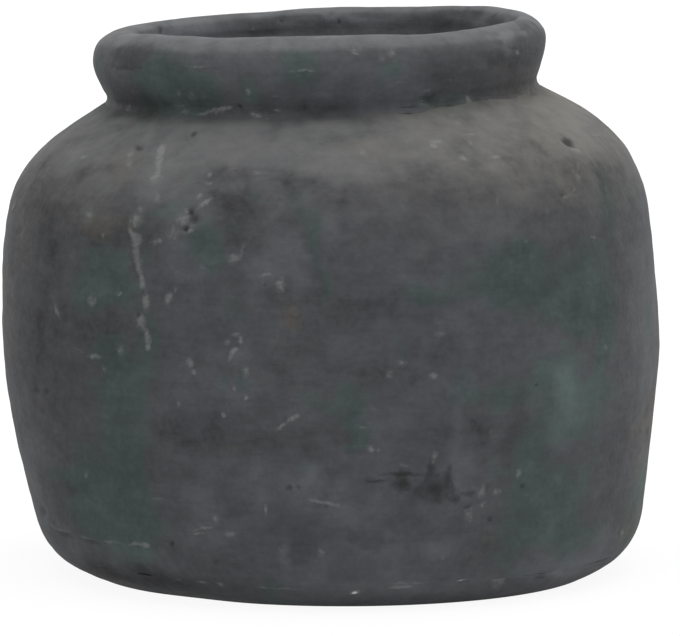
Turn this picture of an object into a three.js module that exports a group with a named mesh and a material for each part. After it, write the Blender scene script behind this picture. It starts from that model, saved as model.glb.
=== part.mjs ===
// A hand-built clay flower pot: a base slab, a bellied wall on it, and a thick rolled rim on the shoulder.
// Sizes are in millimetres. +Z is up, +X is the pot's right side, -Y is its front, and it stands on z = 0.
import * as THREE from "three";

// Places where the outline of the outside turns, from the foot up
const FOOT_RADIUS = 114;
const HEEL_RADIUS = 139.4;
const HEEL_HEIGHT = 28;
const BELLY_RADIUS = 150.4;
const BELLY_HEIGHT = 98;
const NECK_RADIUS = 96.1;
const NECK_HEIGHT = 219.2;

// The rim: a flaring flank from the neck up to its widest place, then a rolled lip into the mouth
const RIM_FLARE = 7.5;
const RIM_WIDEST_UP = 18.5;
const RIM_HEIGHT = 32.1;
const LIP_OUTER_ROUND = 13.6;
const LIP_INNER_ROUND = 6;
const LIP_INNER_DROP = 10;

// Slopes of the outline, in degrees above level
const FOOT_SLOPE = 26.5;
const HEEL_SLOPE = 79.5;
const UPRIGHT = 90;
const NECK_SLOPE = 150;
const FLANK_SLOPE = 60;

// How far each curve holds its first and last direction, as shares of the distance it spans
const HEEL_FULLNESS = [0.39, 0.5];
const SIDE_FULLNESS = [0.5, 0.14];
const SHOULDER_FULLNESS = [0.7, 0.4];
const FLANK_FULLNESS = [0.3, 0.35];

// Clay thicknesses, and the joints where the three pieces are luted together
const WALL = 11;
const FLOOR = 16;
const SEAM_HEIGHT = 12;
const NECK_LAND = 12;
const SPIGOT_WALL = 6;
const SPIGOT_DEPTH = 8;
const CLEARANCE = 0.3;

// The pot is out of true: above its level foot it leans to the left, and its rim is lower there.
// The lean and the tilt are millimetres per millimetre, and the tilt is whole from LEVEL_BELOW upwards.
const LEAN = 0.039;
const SIDE_TILT = 0.042;
const LEVEL_BELOW = 120;
const LIP_SHIFT = 2.5;

// How much the lip rises or dips at equal steps round it, from the right side past the back
const LIP_RISES = [-0.8, -0.9, -1.2, -1.5, -1.5, -0.9, -0.5, 1.6, 1.4, 1.6, -0.4, -0.8];

const SEGMENTS = 64;

const place = (radius, height) => new THREE.Vector2(radius, height);

// A curve between two places of the outline that leaves and arrives along given slopes.
function sweep(from, fromSlope, to, toSlope, [leaving, arriving], steps) {
  const span = from.distanceTo(to);
  const along = (slope, length) => {
    const angle = THREE.MathUtils.degToRad(slope);
    return place(Math.cos(angle) * length, Math.sin(angle) * length);
  };
  const first = from.clone().add(along(fromSlope, span * leaving));
  const second = to.clone().sub(along(toSlope, span * arriving));
  return new THREE.CubicBezierCurve(from, first, second, to).getPoints(steps);
}

// A quarter of an ellipse about a centre, from one angle to another in quarter turns.
function roundOver(centre, across, up, fromQuarter, toQuarter, steps) {
  const [from, to] = [(fromQuarter * Math.PI) / 2, (toQuarter * Math.PI) / 2];
  return new THREE.EllipseCurve(centre.x, centre.y, across, up, from, to).getPoints(steps);
}

// The part of a rising outline above a height, starting exactly at it.
function above(outline, height) {
  const next = outline.findIndex((p) => p.y > height);
  const [low, high] = [outline[next - 1], outline[next]];
  const start = low.clone().lerp(high, (height - low.y) / (high.y - low.y));
  return [start, ...outline.slice(next)];
}

// The outline moved inwards by a thickness, square to itself.
function inset(outline, thickness) {
  return outline.map((p, i) => {
    const before = outline[Math.max(i - 1, 0)];
    const after = outline[Math.min(i + 1, outline.length - 1)];
    const along = after.clone().sub(before).setLength(thickness);
    return place(p.x - along.y, p.y + along.x);
  });
}

// The outside, from the edge of the foot to the neck
const foot = place(FOOT_RADIUS, 0);
const heel = place(HEEL_RADIUS, HEEL_HEIGHT);
const belly = place(BELLY_RADIUS, BELLY_HEIGHT);
const neck = place(NECK_RADIUS, NECK_HEIGHT);
const outside = [
  ...sweep(foot, FOOT_SLOPE, heel, HEEL_SLOPE, HEEL_FULLNESS, 9),
  ...sweep(heel, HEEL_SLOPE, belly, UPRIGHT, SIDE_FULLNESS, 6).slice(1),
  ...sweep(belly, UPRIGHT, neck, NECK_SLOPE, SHOULDER_FULLNESS, 14).slice(1),
];

// The rim is measured from the neck that it stands on
const widestRadius = NECK_RADIUS + RIM_FLARE;
const lipTopRadius = widestRadius - LIP_OUTER_ROUND;
const mouthRadius = lipTopRadius - LIP_INNER_ROUND;

// The wall's two joint faces follow from the outside and its thickness
const wallOutside = above(outside, SEAM_HEIGHT + CLEARANCE);
const wallInside = inset(wallOutside, WALL);
const seatRadius = wallInside[0].x;
const boreRadius = NECK_RADIUS - NECK_LAND;

function baseSlabProfile() {
  const seam = above(outside, SEAM_HEIGHT)[0];
  return [
    place(0, 0),
    ...outside.filter((p) => p.y < SEAM_HEIGHT),
    seam,
    place(seatRadius - CLEARANCE, SEAM_HEIGHT),
    place(seatRadius - CLEARANCE, FLOOR),
    place(0, FLOOR),
  ];
}

function bodyWallProfile() {
  const inside = wallInside.filter((p) => p.x > boreRadius).reverse();
  return [
    ...wallOutside,
    place(boreRadius, NECK_HEIGHT),
    place(boreRadius, inside[0].y),
    ...inside,
    place(seatRadius, wallOutside[0].y),
    wallOutside[0],
  ];
}

function rimCollarProfile() {
  const seat = place(NECK_RADIUS, NECK_HEIGHT + CLEARANCE);
  const widest = place(widestRadius, NECK_HEIGHT + RIM_WIDEST_UP);
  const top = NECK_HEIGHT + RIM_HEIGHT;
  const outerCentre = place(lipTopRadius, widest.y);
  const innerCentre = place(lipTopRadius, top - LIP_INNER_DROP);
  const spigotRadius = boreRadius - CLEARANCE;
  const spigotEnd = NECK_HEIGHT - SPIGOT_DEPTH;
  return [
    ...sweep(seat, FLANK_SLOPE, widest, UPRIGHT, FLANK_FULLNESS, 5),
    ...roundOver(outerCentre, LIP_OUTER_ROUND, top - widest.y, 0, 1, 6).slice(1),
    ...roundOver(innerCentre, LIP_INNER_ROUND, LIP_INNER_DROP, 1, 2, 5).slice(1),
    place(spigotRadius - SPIGOT_WALL, NECK_HEIGHT),
    place(spigotRadius - SPIGOT_WALL, spigotEnd),
    place(spigotRadius, spigotEnd),
    place(spigotRadius, seat.y),
    seat,
  ];
}

const lipRise = new THREE.CatmullRomCurve3(
  LIP_RISES.map((rise) => new THREE.Vector3(0, 0, rise)),
  true,
  "catmullrom",
);

// Moves a point of the true, turned shape to where the leaning pot has it.
function outOfTrue(p) {
  const radius = Math.hypot(p.x, p.y);
  const turn = Math.atan2(p.y, p.x) / (2 * Math.PI);
  const settled = THREE.MathUtils.smoothstep(p.z, 0, LEVEL_BELOW);
  const rim = THREE.MathUtils.smoothstep(p.z, NECK_HEIGHT, NECK_HEIGHT + RIM_HEIGHT);
  const inner = 1 - THREE.MathUtils.smoothstep(radius, mouthRadius, widestRadius);
  const tilt = settled * SIDE_TILT * p.x;
  const rise = rim * lipRise.getPoint(THREE.MathUtils.euclideanModulo(turn, 1)).z;
  p.x += rim * inner * LIP_SHIFT - LEAN * p.z;
  p.z += tilt + rise;
  return p;
}

// A profile turned about the pot's axis and then put out of true.
function turnedPiece(name, profile, material) {
  const geometry = new THREE.LatheGeometry(profile, SEGMENTS).rotateX(Math.PI / 2);
  const position = geometry.getAttribute("position");
  const p = new THREE.Vector3();
  for (let i = 0; i < position.count; i++) {
    outOfTrue(p.fromBufferAttribute(position, i));
    position.setXYZ(i, p.x, p.y, p.z);
  }
  geometry.computeVertexNormals();
  const mesh = new THREE.Mesh(geometry, material);
  mesh.name = name;
  return mesh;
}

// Fired clay, dark where the slab was smoked and paler on the handled rim
const clay = (color, roughness) => new THREE.MeshStandardMaterial({ color, roughness, metalness: 0 });

const pot = new THREE.Group();
pot.name = "flower_pot";
pot.add(
  turnedPiece("base_slab", baseSlabProfile(), clay(0x3c3f40, 0.92)),
  turnedPiece("body_wall", bodyWallProfile(), clay(0x474b4b, 0.9)),
  turnedPiece("rim_collar", rimCollarProfile(), clay(0x50524f, 0.88)),
);

export default pot;
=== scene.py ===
# %% [markdown]
# # A hand-built clay flower pot
#
# This lesson dresses a squat clay pot around a CAD frame. The frame already holds three plain pieces:
# the base slab, the bellied wall and the rolled rim. Here each one becomes a dense mesh with the
# unevenness of hand work, and each gets a finish made of nodes. Everything is in metres, with +Z up and
# the pot's front towards -Y.

import collections
import itertools
import math

import bpy
import numpy as np
from mathutils import Matrix, Vector
from mathutils.bvhtree import BVHTree


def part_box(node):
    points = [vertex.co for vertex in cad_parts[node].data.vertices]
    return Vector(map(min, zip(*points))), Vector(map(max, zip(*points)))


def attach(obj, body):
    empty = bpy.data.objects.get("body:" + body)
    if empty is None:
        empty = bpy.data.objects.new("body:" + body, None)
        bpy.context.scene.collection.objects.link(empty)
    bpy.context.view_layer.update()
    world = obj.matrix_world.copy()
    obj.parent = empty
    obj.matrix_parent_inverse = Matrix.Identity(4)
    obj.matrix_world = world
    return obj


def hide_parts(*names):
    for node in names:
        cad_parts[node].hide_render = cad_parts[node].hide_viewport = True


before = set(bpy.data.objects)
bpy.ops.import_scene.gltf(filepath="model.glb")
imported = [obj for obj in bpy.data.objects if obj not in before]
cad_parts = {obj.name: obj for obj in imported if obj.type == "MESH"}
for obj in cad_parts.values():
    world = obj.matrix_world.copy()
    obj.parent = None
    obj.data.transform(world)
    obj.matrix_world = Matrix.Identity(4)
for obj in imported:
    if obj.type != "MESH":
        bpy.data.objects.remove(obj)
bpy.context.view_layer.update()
print("CAD nodes:", sorted(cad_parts))

# %% [markdown]
# ## The camera
#
# A pot photographed for a shop stands far from the camera, so its outline is hardly touched by
# perspective. The joint above the foot, which is level on the pot, shows how high the camera stood, and
# the width of the belly gives the scale. A long lens far away is the honest way to repeat that, rather
# than a near camera that is scaled.

# %% Stand the camera where the photograph was taken
PHOTO_WIDTH = 680
PHOTO_HEIGHT = 636
SENSOR_WIDTH = 36
CAMERA_DISTANCE = 3.5
CAMERA_ELEVATION = math.radians(7.2)
AIM_HEIGHT = 0.11484
PIXELS_PER_METRE = 2184.2

scene = bpy.context.scene
aim = Vector((0, 0, AIM_HEIGHT))
towards_camera = Vector((0, -math.cos(CAMERA_ELEVATION), math.sin(CAMERA_ELEVATION)))
camera = bpy.data.objects.new("camera", bpy.data.cameras.new("camera"))
camera.location = aim + CAMERA_DISTANCE * towards_camera
camera.rotation_euler = (math.radians(90) - CAMERA_ELEVATION, 0, 0)
camera.data.sensor_width = SENSOR_WIDTH
camera.data.lens = SENSOR_WIDTH * PIXELS_PER_METRE * CAMERA_DISTANCE / PHOTO_WIDTH
scene.collection.objects.link(camera)
scene.camera = camera
print(f"lens {camera.data.lens:.0f} mm, camera {camera.location.z:.3f} m above the foot")

# %% [markdown]
# ## The turned shape
#
# Take away the unevenness, and the pot is a turned solid: one outline carried round an axis. The
# outline is drawn with a few cubic curves between the places where it turns, because a smooth curve
# needs few numbers and stays smooth at any density. The radii follow the frame. The finish lies a hair
# inside the CAD skin, so that its high spots reach that skin and never pass it.

# %% Sizes of the outline
SKIN = 0.0007
wall_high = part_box("body_wall")[1]
collar_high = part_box("rim_collar")[1]
FOOT_RADIUS = 0.114
HEEL_RADIUS = 0.1391
HEEL_HEIGHT = 0.028
BELLY_RADIUS = wall_high.y - SKIN
BELLY_HEIGHT = 0.098
NECK_RADIUS = 0.0961
NECK_HEIGHT = 0.2192
RIM_WIDEST_RADIUS = collar_high.y - SKIN / 2
RIM_WIDEST_UP = 0.0185
RIM_HEIGHT = 0.0318
LIP_TOP_RADIUS = 0.090
LIP_INNER_RADIUS = 0.084
LIP_INNER_DROP = 0.010
WALL = 0.011
FLOOR = 0.016
SEAM_HEIGHT = 0.012
NECK_LAND = 0.012
SPIGOT_WALL = 0.006
SPIGOT_DEPTH = 0.008
CLEARANCE = 0.0003
print(f"belly {2000 * BELLY_RADIUS:.1f} mm across, rim {2000 * RIM_WIDEST_RADIUS:.1f} mm across")


# %% Curves to draw with
def sweep(start, start_slope, end, end_slope, fullness, steps):
    """Cubic curve: (1-t)^3 start + 3t(1-t)^2 a + 3t^2(1-t) b + t^3 end, where a and b lie along the slopes,
    in degrees above level, at the given shares of the distance."""
    start, end = np.array(start, float), np.array(end, float)
    span = np.linalg.norm(end - start)
    slopes = np.radians([start_slope, end_slope])
    headings = np.stack([np.cos(slopes), np.sin(slopes)], axis=1)
    a = start + span * fullness[0] * headings[0]
    b = end - span * fullness[1] * headings[1]
    t = np.linspace(0, 1, steps + 1)[:, None]
    return (1 - t) ** 3 * start + 3 * t * (1 - t) ** 2 * a + 3 * t**2 * (1 - t) * b + t**3 * end


def round_over(centre, across, up, from_quarter, to_quarter, steps):
    """Arc of an ellipse: centre + (across cos a, up sin a), with a given in quarter turns."""
    angle = np.linspace(from_quarter, to_quarter, steps + 1) * math.pi / 2
    return np.array(centre) + np.stack([across * np.cos(angle), up * np.sin(angle)], axis=1)


def evenly(line, spacing):
    """The same line with its points a steady distance apart, both ends kept."""
    length = np.concatenate([[0], np.cumsum(np.linalg.norm(np.diff(line, axis=0), axis=1))])
    places = np.linspace(0, length[-1], max(2, round(length[-1] / spacing) + 1))
    return np.stack([np.interp(places, length, line[:, axis]) for axis in (0, 1)], axis=1)


# %% Outline of the outside
FOOT_SLOPE, HEEL_SLOPE, UPRIGHT, NECK_SLOPE, FLANK_SLOPE = 26.5, 79.5, 90, 150, 60
HEEL_FULLNESS, SIDE_FULLNESS = (0.39, 0.50), (0.50, 0.14)
SHOULDER_FULLNESS, FLANK_FULLNESS = (0.70, 0.40), (0.30, 0.35)
foot, heel = (FOOT_RADIUS, 0), (HEEL_RADIUS, HEEL_HEIGHT)
belly, neck = (BELLY_RADIUS, BELLY_HEIGHT), (NECK_RADIUS, NECK_HEIGHT)
outside = np.concatenate([
    sweep(foot, FOOT_SLOPE, heel, HEEL_SLOPE, HEEL_FULLNESS, 60),
    sweep(heel, HEEL_SLOPE, belly, UPRIGHT, SIDE_FULLNESS, 60)[1:],
    sweep(belly, UPRIGHT, neck, NECK_SLOPE, SHOULDER_FULLNESS, 160)[1:],
])
outside_length = np.linalg.norm(np.diff(outside, axis=0), axis=1).sum()
print(f"outline of {len(outside)} points, {1000 * outside_length:.0f} mm long")

# %% [markdown]
# ## Out of true
#
# Hand-built pots settle while they are soft. This one leans to its left, and its rim is lower on that
# side. The lip also rises and dips round the mouth, and here and there a hand pressed the side in or
# drew it out. The same few formulas move every point of every piece, so that the pieces still fit
# together afterwards.


# %% Smooth steps, and curves that close round the rim
def ease(t):
    """A smooth way from 0 to 1: 3t^2 - 2t^3."""
    return t * t * (3 - 2 * t)


def smoothstep(low, high, value):
    """0 below low, 1 above high, and eased between them."""
    return ease(np.clip((value - low) / (high - low), 0, 1))


def round_the_rim(values, azimuth):
    """A closed curve through values at equal steps of azimuth, cubic between neighbours."""
    place = azimuth / (2 * math.pi) * len(values) % len(values)
    index = np.floor(place).astype(int)
    t = place - index
    a, b, c, d = (values[(index + step) % len(values)] for step in (-1, 0, 1, 2))
    return b + 0.5 * t * (c - a + t * (2 * a - 5 * b + 4 * c - d + t * (3 * (b - c) + d - a)))


def half_turn(degrees):
    """The same azimuth, between -180 and 180 degrees."""
    return (degrees + 180) % 360 - 180


# %% Where a hand pressed the outside in or drew it out
# Azimuth in degrees, height, push outwards, spread in degrees and spread in height
PRESSES = {
    "right_heel": (0, 0.026, 0.0009, 45, 0.022),
    "right_side": (0, 0.105, 0.0008, 30, 0.016),
    "right_shoulder": (0, 0.165, 0.0005, 30, 0.010),
    "right_foot": (-45, 0, 0.0019, 40, 0.008),
    "left_foot": (-125, 0, -0.0024, 11, 0.006),
    "left_foot_side": (180, 0.006, 0.0007, 35, 0.006),
    "left_heel": (180, 0.020, -0.0003, 30, 0.010),
    "left_low": (180, 0.061, 0.0005, 30, 0.015),
    "left_side": (180, 0.115, 0.0004, 30, 0.015),
    "left_shoulder": (180, 0.180, 0.0004, 30, 0.015),
    "right_lip": (0, 0.246, 0.0013, 40, 0.006),
    "right_lip_front": (-25, 0.232, -0.0007, 30, 0.005),
    "right_flank": (-5, 0.221, 0.0008, 40, 0.005),
    "right_neck": (0, 0.208, 0.0009, 35, 0.009),
    "left_lip": (165, 0.246, 0.0006, 18, 0.005),
}

# The presses fade out between these radii, so that the inside near the axis keeps its place
PRESSES_FADE = (0.05, 0.10)


def presses(radius, height, azimuth):
    """The sum of the presses: each push times e^(-(turn/spread)^2) e^(-(rise/spread)^2)."""
    total = 0
    for around, level, push, wide, tall in PRESSES.values():
        turn = half_turn(np.degrees(azimuth) - around)
        total = total + push * np.exp(-((turn / wide) ** 2) - ((height - level) / tall) ** 2)
    return total * smoothstep(*PRESSES_FADE, radius)


print(f"{len(PRESSES)} presses of the hand")

# %% Lean, tilt and the wavy lip
LEAN = 0.039
SIDE_TILT = 0.042
LEVEL_BELOW = 0.120
LIP_SHIFT = 0.0025
MILLIMETRE = 0.001

# Rises of the lip at equal steps round it, from the right side past the back
LIP_RISES = MILLIMETRE * np.array([-0.8, -0.9, -1.2, -1.5, -1.5, -0.9, -0.5, 1.6, 1.4, 1.6, -0.4, -0.8])

# The joint under the collar wavers: its rise in millimetres at these azimuths, in degrees from the
# right side
JOINT_AZIMUTHS = [-180, -142, -121, -106, -90, -69, -63.5, -58.5, -49, -38, -28, -12]
JOINT_AZIMUTHS += [0, 30, 60, 95, 130, 180]
JOINT_RISES = [0, 0, 0.2, -0.5, -0.8, -0.6, -1.25, 1.0, 1.0, 0.5, -0.6, -1.2]
JOINT_RISES += [0, -0.6, 0.7, -0.5, 0.6, 0]
WAVER_REACH = 0.005


def out_of_true(radius, height, azimuth):
    """Where the leaning pot has the point at this radius, height and azimuth of the true shape."""
    radius = radius + presses(radius, height, azimuth)
    x, y = radius * np.cos(azimuth), radius * np.sin(azimuth)
    settled = smoothstep(0, LEVEL_BELOW, height)
    rim = smoothstep(NECK_HEIGHT, NECK_HEIGHT + RIM_HEIGHT, height)
    inner = 1 - smoothstep(LIP_INNER_RADIUS, RIM_WIDEST_RADIUS, radius)
    rise = rim * round_the_rim(LIP_RISES, azimuth)
    waver = MILLIMETRE * np.interp(half_turn(np.degrees(azimuth)), JOINT_AZIMUTHS, JOINT_RISES)
    waver = waver * np.exp(-(((height - NECK_HEIGHT) / WAVER_REACH) ** 2))
    return np.stack([
        x + rim * inner * LIP_SHIFT - LEAN * height,
        y + 0 * height,
        height + settled * SIDE_TILT * x + rise + waver,
    ], axis=-1)


left_neck = out_of_true(NECK_RADIUS, NECK_HEIGHT, np.array(math.pi))
print("the neck's left side is at", np.round(left_neck / MILLIMETRE, 1), "mm")

# %% [markdown]
# ## Unevenness
#
# Clay that was pressed and smoothed by hand has broad swells, faint rings where fingers ran round it,
# and small lumps where grit was dragged along. Noise made of random heights on a lattice gives all of
# these at their own size. It could be a modifier with a texture, but worked out in arrays it repeats
# exactly and can be read as a formula.

# %% Lattice noise
AXIS_PRIMES = (73856093, 19349663, 83492791)
SEED_PRIME = 2654435761
STIRRER = 1274126177
LOW_32_BITS = 0xFFFFFFFF


def lumps(points, size, seed):
    """Random heights from -1 to 1 at the corners of a lattice of cubes of this size, eased into each other
    along each axis. A corner's height comes from stirring its three whole numbers and the seed together."""
    cell = points / size
    corner = np.floor(cell).astype(np.int64)
    t = ease(cell - corner)
    total = np.zeros(points.shape[:-1])
    for step in itertools.product((0, 1), repeat=3):
        mixed = seed * SEED_PRIME
        for number, prime in zip(np.moveaxis(corner + np.array(step), -1, 0), AXIS_PRIMES):
            mixed = mixed ^ (number * prime)
        mixed = (mixed ^ (mixed >> 13)) * STIRRER & LOW_32_BITS
        height = (mixed ^ (mixed >> 16)) / 2**31 - 1
        share = np.prod(np.where(np.array(step) == 1, t, 1 - t), axis=-1)
        total += share * height
    return total


def layered(points, layers):
    """Lattice noise in layers, added up. Each layer is given as its height, its size and its seed."""
    total = 0
    for height, size, seed in layers:
        total = total + height * lumps(points, size, seed)
    return total


sample = lumps(np.random.default_rng(1).uniform(-1, 1, (20000, 3)), 0.05, 3)
print(f"noise from {sample.min():.2f} to {sample.max():.2f}, mean {sample.mean():.2f}")

# %% Relief of the hand-worked clay
SWELLS = ((0.00036, 0.045, 11), (0.00022, 0.018, 12))
RINGS = ((0.00013, 0.0055, 21), (0.00007, 0.0026, 22))
GRAIN = ((0.00007, 0.0042, 31),)
RING_DRAW = (0.12, 0.12, 1.0)


def clay_relief(points):
    """Broad swells, finger rings drawn out sideways and small lumps, in metres along the normal."""
    return layered(points, SWELLS) + layered(points * RING_DRAW, RINGS) + layered(points, GRAIN)


# %% [markdown]
# ## Where a mark of the photograph lies on the pot
#
# The pot is covered with chalky streaks, chips and pits, and the eye knows it by them. Each one is read
# off the photograph as a pixel, a length, a width and a slant. A ray from the camera through that pixel
# meets the CAD skin, and that is the mark's place on the pot. Its size is stretched to undo the slant
# at which that part of the skin was seen. After that the mark belongs to the pot, whichever side it is
# looked at from.

# %% From a ray to a place on the skin
Mark = collections.namedtuple("Mark", "node place axes reach strength")
FADE = 1.5
SPREAD = 1.5
MARK_DEPTH = 0.006
THINNEST_MARK = 0.0003
FLATTEST = -0.15
UP = Vector((0, 0, 1))

sideways = Vector((1, 0, 0))
upwards = towards_camera.cross(sideways)
graph = bpy.context.evaluated_depsgraph_get()
skins = {name: BVHTree.FromObject(node, graph) for name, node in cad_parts.items()}


def first_skin(start, heading):
    """The nearest place where a ray meets a piece: distance, name of the node, place and normal."""
    hits = [(*skin.ray_cast(start, heading), name) for name, skin in skins.items()]
    met = [(distance, name, place, normal) for place, normal, _, distance, name in hits if place]
    return min(met, key=lambda hit: hit[0])


def lay_mark(start, heading, across, up, mark):
    """A mark seen along a heading. Its long and short axes are carried onto the skin, where each vector v
    of the picture becomes v - heading (v . normal) / (heading . normal), so that it looks the same from
    there. Its reach is half its length, half its width and how deep it goes."""
    length, width, slant, strength = map(float, mark)
    width *= SPREAD
    _, name, place, normal = first_skin(start, heading)
    slant = math.radians(slant)
    long_way = length * (math.cos(slant) * across + math.sin(slant) * up)
    short_way = width * (math.cos(slant) * up - math.sin(slant) * across)
    facing = min(heading.dot(normal), FLATTEST)
    long_way, short_way = (v - heading * v.dot(normal) / facing for v in (long_way, short_way))
    x_axis = long_way.normalized()
    y_axis = normal.cross(x_axis)
    axes = Matrix((x_axis, y_axis, normal)).transposed()
    reach = Vector((long_way.length, max(abs(short_way.dot(y_axis)), THINNEST_MARK), MARK_DEPTH))
    reach.z += 0.5 * reach.x
    return Mark(name, place, axes, FADE * reach, strength)


# %% From a pixel, or from a place round the pot, to a mark
def photo_mark(x, y, length, width, slant, strength):
    """A mark at a pixel of the photograph, with its half length and half width in pixels too."""
    scale = 1 / PIXELS_PER_METRE
    heading = (x - PHOTO_WIDTH / 2) * sideways + (PHOTO_HEIGHT / 2 - y) * upwards
    heading = (heading * scale / CAMERA_DISTANCE - towards_camera).normalized()
    mark = (length * scale, width * scale, slant, strength)
    return lay_mark(camera.location, heading, sideways, upwards, mark)


def photo_marks(group, sign=1):
    """The marks of a dictionary, each with its strength times the sign."""
    return [photo_mark(*mark[:5], sign * mark[5]) for mark in group.values()]


def round_mark(azimuth, height, length, width, slant, strength):
    """A mark at an azimuth in degrees and a height, seen from straight outside, all sizes in metres."""
    turn = math.radians(azimuth)
    outward = Vector((math.cos(turn), math.sin(turn), 0))
    start = outward + height * UP
    across = Vector((-math.sin(turn), math.cos(turn), 0))
    return lay_mark(start, -outward, across, UP, (length, width, slant, strength))


def on(node, marks):
    """Those of the marks that lie on this CAD node."""
    return [mark for mark in marks if mark.node == node]


middle = photo_mark(PHOTO_WIDTH / 2, PHOTO_HEIGHT / 2, 1, 1, 0, 1)
print(f"the photograph's middle is {1000 * middle.place.z:.0f} mm up on {middle.node}")

# %% [markdown]
# ## The marks
#
# Every row is one mark: its pixel across and down, its half length and half width in pixels, its slant
# in degrees and its strength. The pale ones are chalk, lime and torn clay, with painted highlights where
# torn clay, the ledge over the heel and the lip's crest and facets caught the light. The dark ones are pits
# and flaked patches, and painted shade: the shadows of torn clay and of the ledge, and shade along the
# joints and inside the lip.

# %% Pale marks on the left
streak = {
    "top": (162.3, 149, 4.5, 2.2, 80, 0.9), "upper": (159, 160, 11, 2.4, 80, 0.7),
    "fade": (156.8, 176, 7, 3.4, 75, 0.5), "gap": (157, 199, 8, 2.8, 90, 0.35),
    "elbow": (141.3, 208, 3, 2.2, 60, 0.6), "knee": (136.6, 219, 6.5, 4, 25, 0.6),
    "hook": (131.5, 232, 6, 1.6, -65, 0.75), "knot": (136, 241, 5.5, 3.4, -60, 0.6),
    "shaft": (137.5, 262, 17, 2.5, -79, 0.7), "low": (142, 284, 7, 2.2, -80, 0.75),
    "tail": (145.5, 303, 9, 2.5, -88, 0.7), "foot": (140, 322, 8, 3, -75, 0.6),
    "end": (146.5, 338, 7, 2.3, -76, 0.7), "tip": (147.4, 347, 2.6, 2, 0, 0.8),
}
chips = {
    "ridge": (204, 203.7, 8.5, 1.5, 33, 0.95), "ridge_low": (187, 211, 2.4, 1.8, 20, 0.7),
    "dot": (199.5, 196, 2, 1.8, 0, 0.7), "dash": (209.2, 183, 3.5, 1.1, 0, 0.6),
    "tick": (209, 175, 2.5, 1.5, 90, 0.5), "blotch": (182, 219, 6, 4.5, 60, 0.45),
    "lump": (183.5, 221, 3, 1.6, 60, 0.4), "lump_low": (192, 226.5, 2.2, 1.1, 0, 0.35),
    "below": (191, 231.2, 3, 1.1, 10, 0.9), "haze": (172, 234, 7, 4.5, 80, 0.45),
    "bar": (156, 241.8, 6.5, 2, 8, 0.5), "yellow_top": (130, 153, 4.5, 2.2, 30, 0.35),
    "yellow": (129.7, 163.7, 4.5, 2.2, -75, 0.55), "left_dash": (83.5, 157.7, 4, 1, 0, 0.6),
    "left_tick": (102.6, 236.4, 2.8, 1.3, 90, 0.5), "left_smudge": (88.5, 214, 6, 2.5, -80, 0.45),
    "left_fork": (91, 300.5, 4.5, 3.6, 30, 0.6), "left_bar": (118, 293.8, 4, 1.6, 0, 0.4),
    "arc_upper": (51.5, 298, 8, 1.2, -72, 0.25), "arc_lower": (56.5, 313, 7, 1.5, -68, 0.6),
    "shoulder_bar": (260, 172.4, 7, 1.4, 2, 0.4), "puff": (234, 258, 7, 2.8, 12, 0.42),
    "line": (241.8, 249, 6, 1.2, 85, 0.4), "hook_bar": (265.6, 275.4, 6, 1.2, 5, 0.7),
    "hook_arc": (279.7, 285, 7, 3, 85, 0.6), "ticks_left": (169, 296, 4.5, 3.0, 60, 0.6),
    "ticks_low": (165.9, 301.5, 4, 1.8, 30, 0.5), "ticks_right": (175.6, 291.6, 4, 1.2, 80, 0.45),
    "green_fleck": (201.6, 266, 3, 2, 80, 0.35),
}
PALE_MARKS = photo_marks(streak) + photo_marks(chips)
print(f"{len(PALE_MARKS)} pale marks on the left")

# %% Pale marks in the middle and on the right
middle_marks = {
    "loop_top": (235, 333.5, 4, 1.8, 10, 0.6), "loop_right": (240, 341, 5, 1.6, 85, 0.6),
    "loop_left": (225.5, 341, 3.5, 2.4, 0, 0.65), "loop_bottom": (233, 350.6, 5, 1.8, 20, 0.7),
    "loop_tail": (229.5, 357.5, 4, 1.7, 60, 0.6), "loop_drop": (245, 372, 4, 3.2, 0, 0.55),
    "curl_head": (188.6, 362, 5.5, 2.2, -70, 0.6), "curl_tail": (193, 372, 2.8, 1.7, -40, 0.7),
    "dot_high": (234, 388.5, 2, 2, 0, 0.5), "dot_white": (245.7, 398.3, 1.7, 1.6, 0, 0.95),
    "dot_low": (223.3, 414.6, 2.4, 2, 0, 0.8), "dot_faint": (177.8, 403.7, 2, 2.2, 0, 0.35),
    "slash_upper": (294, 417.5, 6, 1.8, 28, 0.7), "slash_lower": (282, 426, 8, 1.6, 36, 0.55),
    "comb": (93, 356.8, 7, 1.4, -8, 0.6), "comb_low": (104, 368, 3.2, 1.5, -50, 0.35),
    "wisp": (79, 350, 6, 1.2, -20, 0.3), "stalk": (120.3, 351.7, 7, 2.2, 85, 0.45),
    "stalk_low": (86.7, 475.3, 4.5, 0.9, 90, 0.45), "smear_line": (325, 503, 14, 1.5, -16, 0.5),
    "needle": (265.6, 510, 5, 1.2, 88, 0.75), "scuff_line": (201, 528.6, 14, 1.2, 6, 0.45),
    "scuff_low": (196, 533.6, 8, 1, 0, 0.4), "scuff_knot": (215.5, 519.5, 4, 2.3, -60, 0.45),
    "scuff_right": (229.8, 533.8, 5, 2.4, 0, 0.5), "low_puff": (283, 549.5, 5, 3.6, 0, 0.42),
    "low_wisp": (321, 552.5, 4.5, 2.2, 90, 0.32), "low_dash": (158, 499, 6, 1, 0, 0.3),
    "low_tick": (443, 557.7, 3.2, 1.6, 85, 0.35),
}
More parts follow.
